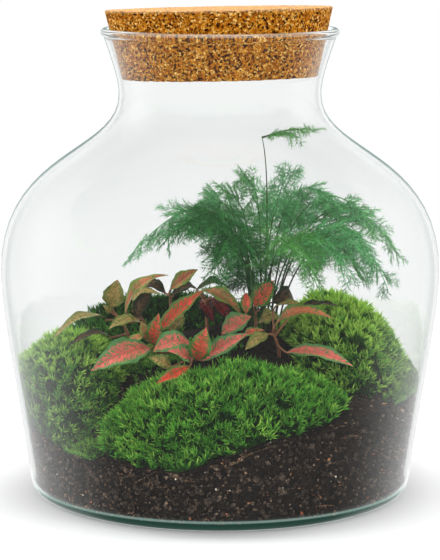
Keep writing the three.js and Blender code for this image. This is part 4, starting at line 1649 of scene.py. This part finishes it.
@dataclass
class Frond:
    """One frond: its stems, and on them branches, branchlets and needles in every finer step.

    Branches, branchlets and needles point partly ahead and partly aside, by the two numbers of each.
    """

    number: int
    foot: Span
    tone: FernTone
    stems: tuple[Stem, ...]
    stem_tone: StemTone = StemTone.GREEN
    stem_radius: float = 0.62
    root_depth: float = 13.0
    sides: int = 7
    branch_step: float = 2.6
    branch_roll: Span = (-0.85, 0.75)
    branch_aim: Span = (0.62, 0.78)
    branch_width: float = 0.32
    taper: float = 0.42
    shortest_branch: float = 3.5
    branch_lengths: Span = (0.75, 1.1)
    branchlet_step: float = 1.8
    branchlet_aim: Span = (0.78, 0.62)
    branchlet_width: float = 0.2
    branchlet_sway: float = 0.12
    branchlet_lengths: Span = (1.5, 8.0)
    twig_shade: float = 0.7
    needle_step: float = 1.0
    needles: int = 3
    needle_aim: Span = (0.8, 0.75)
    needle_length: Span = (2.4, 4.8)
    needle_half_width: float = 0.17
    needle_sway: float = 0.22
    needle_greens: Span = (0.45, 1.5)
    shaded_between: Span = (108, 154)
    darkest: float = 0.4
    brightening: float = 0.56
    seed: int = 400
    shape: Shape = field(default_factory=Shape)
    rng: Rng = field(init=False)

    def __post_init__(self) -> None:
        """Starts the random numbers."""
        self.rng = np.random.default_rng(self.seed + self.number)

    def build(self, soil: Soil, needle_skin: Material, stem_skin: Material) -> None:
        """Builds the frond.

        Args:
            soil: The soil that it stands in.
            needle_skin: The needles' finish.
            stem_skin: The stems' finish.
        """
        start = soil.foot(self.foot)
        below = start[None] - [0, 0, self.root_depth]
        for stem in self.stems:
            corners = [start, stem.near, stem.arch, stem.tip]
            path = self.add_stem(corners, below, stem.leaf_from < 1)
            if stem.leaf_from < 1:
                self.spray(corners, stem)
            start, below = path[-1], path[:0]
        piece = self.shape.build(f"fern_{self.number:02d}", [needle_skin, stem_skin])
        stand_for(piece, "fern_needles", f"fern_frond_{self.number:02d}")

    def add_stem(self, corners: list, below: Points, leafy: bool) -> Points:
        """Adds one stem, which turns green towards its tip where it is leafy.

        Args:
            corners: Its control points.
            below: The points of its root in the soil, if it has one.
            leafy: Whether it carries needles.

        Returns:
            The points along it.
        """
        shares = np.linspace(0, 1, 40)
        path = bezier(corners, shares)
        radii = np.concatenate([np.ones(len(below)), 1 - 0.6 * shares]) * self.stem_radius
        points, faces = tube(np.concatenate([below, path]), radii, self.sides)
        fade = np.concatenate([np.zeros(len(below)), shares])
        ring = np.repeat(np.clip(fade * 1.6 - 0.5, 0, 1) * leafy, self.sides)
        ring = np.concatenate([ring[:1], ring, ring[-1:]])[:, None]
        brown, green = rgb(self.stem_tone.value), rgb(self.tone.value)
        self.shape.add(points, faces, 1, tone=brown * (1 - ring) + green * ring)
        return path

    def spray(self, corners: list, stem: Stem) -> None:
        """Adds the branches, branchlets and needles of one stem.

        Args:
            corners: The stem's control points.
            stem: The stem.
        """
        path = bezier(corners, np.linspace(0, 1, 60))
        length = np.linalg.norm(np.diff(path, axis=0), axis=1).sum()
        count = int(length * (1 - stem.leaf_from) / self.branch_step)
        share = (np.arange(count) + 0.5) / count
        along = stem.leaf_from + (1 - stem.leaf_from) * share
        roots = bezier(corners, along)
        ahead = unit(bezier(corners, along + 0.002) - roots)
        hand = np.where(np.arange(count) % 2, 1.0, -1.0)[:, None]
        side = unit(np.cross(ahead, UP)) * hand
        roll = self.rng.uniform(*self.branch_roll, count)[:, None] * hand
        side = side * np.cos(roll) + np.cross(ahead, side) * np.sin(roll)
        filling = 0.7 + 0.3 * np.minimum(1, share / 0.25)
        reach = stem.spread * 1.05 * (1 - share) ** self.taper * filling + self.shortest_branch
        reach = reach * self.rng.uniform(*self.branch_lengths, count)
        forwards, aside = self.branch_aim
        drop = UP * self.rng.uniform(0, stem.droop, (count, 1))
        heading = unit(ahead * forwards + side * aside - drop)
        twigs = [spikes(roots, heading, reach, self.branch_width)]
        rows = [(roots, ahead, side)]
        for i in range(count):
            twigs.append(self.branchlets(rows, (roots[i], ahead[i], heading[i]), reach[i]))
        self.add_needles(*(np.concatenate(part) for part in zip(*rows)))
        for points, faces in twigs:
            self.shape.add(points, faces, 0, tone=rgb(self.tone.value) * self.twig_shade)

    def branchlets(self, rows: list, branch: tuple, reach: float) -> Pair:
        """Makes the branchlets of one branch, and notes where their needles stand.

        Args:
            rows: Takes the needles' places, directions and flat sides, one row a branchlet.
            branch: Where the branch starts, the way that the stem runs there, and the branch's own way.
            reach: How long the branch is.

        Returns:
            The branchlets' points and the triangles between them.
        """
        root, ahead, heading = branch
        steps = np.arange(1.0, reach + 1.5, self.branchlet_step)
        hand = np.where(np.arange(len(steps)) % 2, 1.0, -1.0)[:, None]
        across = unit(ahead - heading * (ahead @ heading) + self.rng.normal(scale=0.3, size=3))
        places = root + heading * np.minimum(steps, reach)[:, None]
        forwards, aside = self.branchlet_aim
        sway = self.rng.normal(scale=self.branchlet_sway, size=(len(steps), 3))
        aims = unit(heading * forwards + hand * across * aside + sway)
        lengths = np.clip((reach - steps) * 0.4 + 2.0, *self.branchlet_lengths)
        lengths = lengths * self.rng.uniform(0.75, 1.2, len(steps))
        for place, aim, length in zip(places, aims, lengths):
            along = np.arange(0.2, length + 0.4, self.needle_step)[:, None]
            rows.append((place + aim * along, aim + 0 * along, across + 0 * along))
        return spikes(places, aims, lengths, self.branchlet_width)

    def add_needles(self, base: Points, out: np.ndarray, flat: np.ndarray) -> None:
        """Adds the needles, a few at each place, darkened low down by painted shade.

        Args:
            base: Where they stand.
            out: The way that their twig runs there.
            flat: The way that they spread.
        """
        each = np.repeat(np.arange(len(base)), self.needles)
        lean = flat[each] * np.tile(np.linspace(-1, 1, self.needles), len(base))[:, None]
        forwards, aside = self.needle_aim
        sway = self.rng.normal(scale=self.needle_sway, size=(len(each), 3))
        heading = unit(out[each] * forwards + lean * aside + sway)
        length = self.rng.uniform(*self.needle_length, len(each))[:, None]
        across = sideways(heading, self.rng) * self.needle_half_width
        base = base[each]
        points = np.stack([base - across, base + across, base + heading * length], 1).reshape(-1, 3)
        shade = self.darkest + self.brightening * smoothstep(*self.shaded_between, base[:, 2:])
        green = rgb(self.tone.value) * shade * self.rng.uniform(*self.needle_greens, (len(each), 1))
        faces = np.arange(len(points)).reshape(-1, 3)
        self.shape.add(points, faces, 0, tone=np.repeat(green, 3, axis=0))


def fern_fronds() -> list[Frond]:
    """Lists the fern's fronds.

    Returns:
        The fronds, in the order of their nodes.
    """
    bluish, fresh, shaded, pale = FernTone
    brown = StemTone.BROWN
    return [
        Frond(1, (19, 8), bluish, (Stem((19, 6, 168), (-7, -4, 206), (-56, -20, 147), 0.3, 21, 1.6),)),
        Frond(2, (20, 4), shaded, (Stem((19, 0, 165), (1, -22, 199), (-34, -40, 159), 0.14, 22, 1.3),)),
        Frond(3, (20, 12), bluish, (Stem((20, 13, 167), (2, 16, 204), (-29, 24, 160), 0.3, 14, 1.5),)),
        Frond(4, (22, 16), pale, (Stem((21, 18, 167), (14, 28, 191), (-7, 40, 178), 0.4, 12),)),
        Frond(5, (26, 17), pale, (Stem((25, 19, 165), (27, 22, 193), (13, 26, 190), 0.36, 11),)),
        Frond(6, (28, 7), bluish, (Stem((27, 4, 162), (36, 0, 191), (44, -6, 198), 0.42, 10),)),
        Frond(7, (30, 15), bluish, (
            Stem((30, 18, 162), (44, 24, 205), (72, 34, 175), 0.38, 15, 1.3),
        ), brown),
        Frond(8, (32, 10), bluish, (Stem((32, 10, 155), (57, 6, 211), (94, 2, 166), 0.36, 15, 1.3),), brown),
        Frond(9, (34, 13), pale, (Stem((36, 14, 153), (73, 22, 212), (114, 26, 140), 0.38, 25, 0.8),), brown),
        Frond(10, (34, 6), bluish, (
            Stem((36, 2, 151), (74, -8, 207), (103, -16, 126), 0.36, 27, 0.9),
        ), brown),
        Frond(11, (36, 9), pale, (Stem((40, 9, 140), (71, 8, 179), (88, 10, 129), 0.28, 23),), brown),
        Frond(12, (31, 2), bluish, (Stem((33, -2, 148), (59, -26, 192), (78, -42, 135), 0.3, 18),), brown),
        Frond(13, (27, 1), fresh, (Stem((28, -4, 150), (43, -34, 189), (58, -52, 134), 0.3, 18),), brown),
        Frond(14, (27, 12), fresh, (
            Stem((30, 10, 170), (30, 10, 198), (26, 10, 216), 1, 0),
            Stem((28, 9, 215), (43, 7, 226), (58, 5, 221), 0.12, 17, 0.3),
        )),
        Frond(15, (29, 20), bluish, (Stem((26, 26, 155), (34, 52, 198), (48, 72, 161), 0.36, 20),)),
        Frond(16, (21, 20), bluish, (Stem((18, 26, 155), (13, 46, 197), (-8, 66, 149), 0.16, 24, 1.4),)),
        Frond(17, (23, 3), shaded, (Stem((20, -2, 153), (10, -28, 190), (-5, -46, 137), 0.12, 24, 1.6),)),
    ]


# Studio


@dataclass
class Studio:
    """The pale floor, soft white light and the camera at the photograph's angle, in metres.

    The glass mirrors a room that is dark in front and bright behind. The room's parts lie between
    limits of the mirrored direction along one axis, each from -1 to 1.
    """

    camera_place: Spot = (0.0, -1.467, 0.364)
    camera_tilt: float = 80.96
    lens: float = 154.4
    floor_radius: float = 1.0
    floor_corners: int = 96
    lamp_place: Spot = (0.0, 0.25, 1.5)
    lamp_aim: Spot = (0.0, 0.0, 0.14)
    lamp_size: Span = (3.4, 0.6)
    lamp_power: float = 34.0
    room_light: float = 1.18
    dark_room: float = 0.22
    side_walls: float = 0.85
    sides: Span = (-0.4, 0.55)
    left_glow: float = 0.14
    overhead: Span = (0.3, 0.8)
    overhead_dark: float = 0.8
    underfoot: Span = (-0.84, -0.66)
    from_floor: float = 0.35
    behind: Span = (0.84, 0.92)
    backdrop: float = 1.06
    grazed: Span = (0.962, 0.985)
    dark_edge: float = 0.6
    edge_tint: Colour = (0.66, 0.86, 0.82, 1.0)
    white: Colour = (1.0, 1.0, 1.0, 1.0)
    glass_bounces: int = 24
    diffuse_bounces: int = 4
    clear_bounces: int = 16

    def floor(self) -> None:
        """Lays the floor, which the glass neither mirrors nor bends."""
        corners = np.arange(self.floor_corners)
        turns = np.linspace(0, 2 * math.pi, self.floor_corners, endpoint=False)
        edge = level_ring(turns) * self.floor_radius / MM
        faces = np.stack([0 * corners + len(corners), corners, (corners + 1) % len(corners)], 1)
        shape = Shape()
        shape.add(np.concatenate([edge, [[0, 0, 0]]]), faces)
        floor = shape.build("floor", [PaleFloor().make()])
        floor.visible_glossy = False
        floor.visible_transmission = False

    def sky(self) -> None:
        """Sets the white surroundings, and the room that the glass mirrors."""
        world = bpy.data.worlds.new("white_tent")
        world.use_nodes = True
        bpy.context.scene.world = world
        paint = Paint(world.node_tree)
        glossy, depth, crossed, straight = (
            paint.wire("ShaderNodeLightPath", output)
            for output in ("Is Glossy Ray", "Ray Depth", "Transmission Depth", "Is Camera Ray")
        )
        mirrored = (depth - crossed - 1).between(0.0, 1.0)
        across, along, upwards = paint.parts(paint.wire("ShaderNodeTexCoord", "Generated"))
        sides = (along - across * self.left_glow).between(*self.sides)
        sides = sides * (1 - upwards.between(*self.overhead) * self.overhead_dark)
        image = self.dark_room + sides * (self.side_walls - self.dark_room)
        image = (1 - upwards.between(*self.underfoot)).blend(image, self.from_floor)
        image = along.between(*self.behind).blend(image, self.backdrop)
        grazed = along.between(*self.grazed)
        image = grazed.blend(image, self.dark_edge)
        seen = mirrored.blend(self.backdrop, image)
        lit = self.room_light - straight * (self.room_light - 1)
        tint = (grazed * mirrored * glossy).mix(self.white, self.edge_tint)
        light = {"Color": tint, "Strength": glossy.blend(lit, seen)}
        light = paint.wire("ShaderNodeBackground", 0, None, light)
        paint.node("ShaderNodeOutputWorld", None, {"Surface": light})

    def lamp(self) -> None:
        """Hangs the one soft lamp over the jar, which the glass doesn't mirror."""
        data = bpy.data.lights.new("key", "AREA")
        data.shape = "RECTANGLE"
        data.size, data.size_y = self.lamp_size
        data.energy = self.lamp_power
        lamp = bpy.data.objects.new("key", data)
        lamp.location = self.lamp_place
        aim = Vector(self.lamp_aim) - Vector(self.lamp_place)
        lamp.rotation_euler = aim.to_track_quat("-Z", "Y").to_euler()
        lamp.visible_camera = False
        lamp.visible_transmission = False
        lamp.visible_glossy = False
        bpy.context.scene.collection.objects.link(lamp)

    def camera(self) -> None:
        """Places the camera."""
        data = bpy.data.cameras.new("camera")
        data.lens = self.lens
        data.sensor_width = 36.0
        data.clip_end = 100.0
        camera = bpy.data.objects.new("camera", data)
        camera.location = self.camera_place
        camera.rotation_euler = (math.radians(self.camera_tilt), 0, 0)
        bpy.context.scene.collection.objects.link(camera)
        bpy.context.scene.camera = camera

    def build(self) -> None:
        """Sets up the studio and how light is traced and shown."""
        scene = bpy.context.scene
        scene.view_settings.view_transform = "Standard"
        scene.cycles.max_bounces = self.glass_bounces
        scene.cycles.transmission_bounces = self.glass_bounces
        scene.cycles.diffuse_bounces = self.diffuse_bounces
        scene.cycles.transparent_max_bounces = self.clear_bounces
        scene.cycles.caustics_reflective = False
        scene.cycles.caustics_refractive = False
        scene.cycles.use_denoising = True
        self.camera()
        self.floor()
        self.sky()
        self.lamp()


def main() -> None:
    """Builds every piece of the terrarium, and the studio round it."""
    logging.basicConfig(level=logging.INFO, format="%(name)s: %(message)s")
    Studio().build()
    jar = Jar()
    jar.build(ClearGlass().make())
    Cork().build(PressedCork().make())
    soil = Soil(jar)
    soil.build(LooseGrit().make())
    moss = MossGreen().make()
    for cushion in moss_cushions():
        cushion.build(jar, soil, moss)
    leaf_skin = NettedLeaf().make()
    stalk_skin = TonedStem("nerve_stalks").make()
    for shoot in nerve_shoots():
        shoot.build(soil, leaf_skin, stalk_skin)
    needle_skin = TonedStem("fern_needles", 0.55).make()
    fern_stem_skin = TonedStem("fern_stems").make()
    for frond in fern_fronds():
        frond.build(soil, needle_skin, fern_stem_skin)


if __name__ == "__main__":
    main()
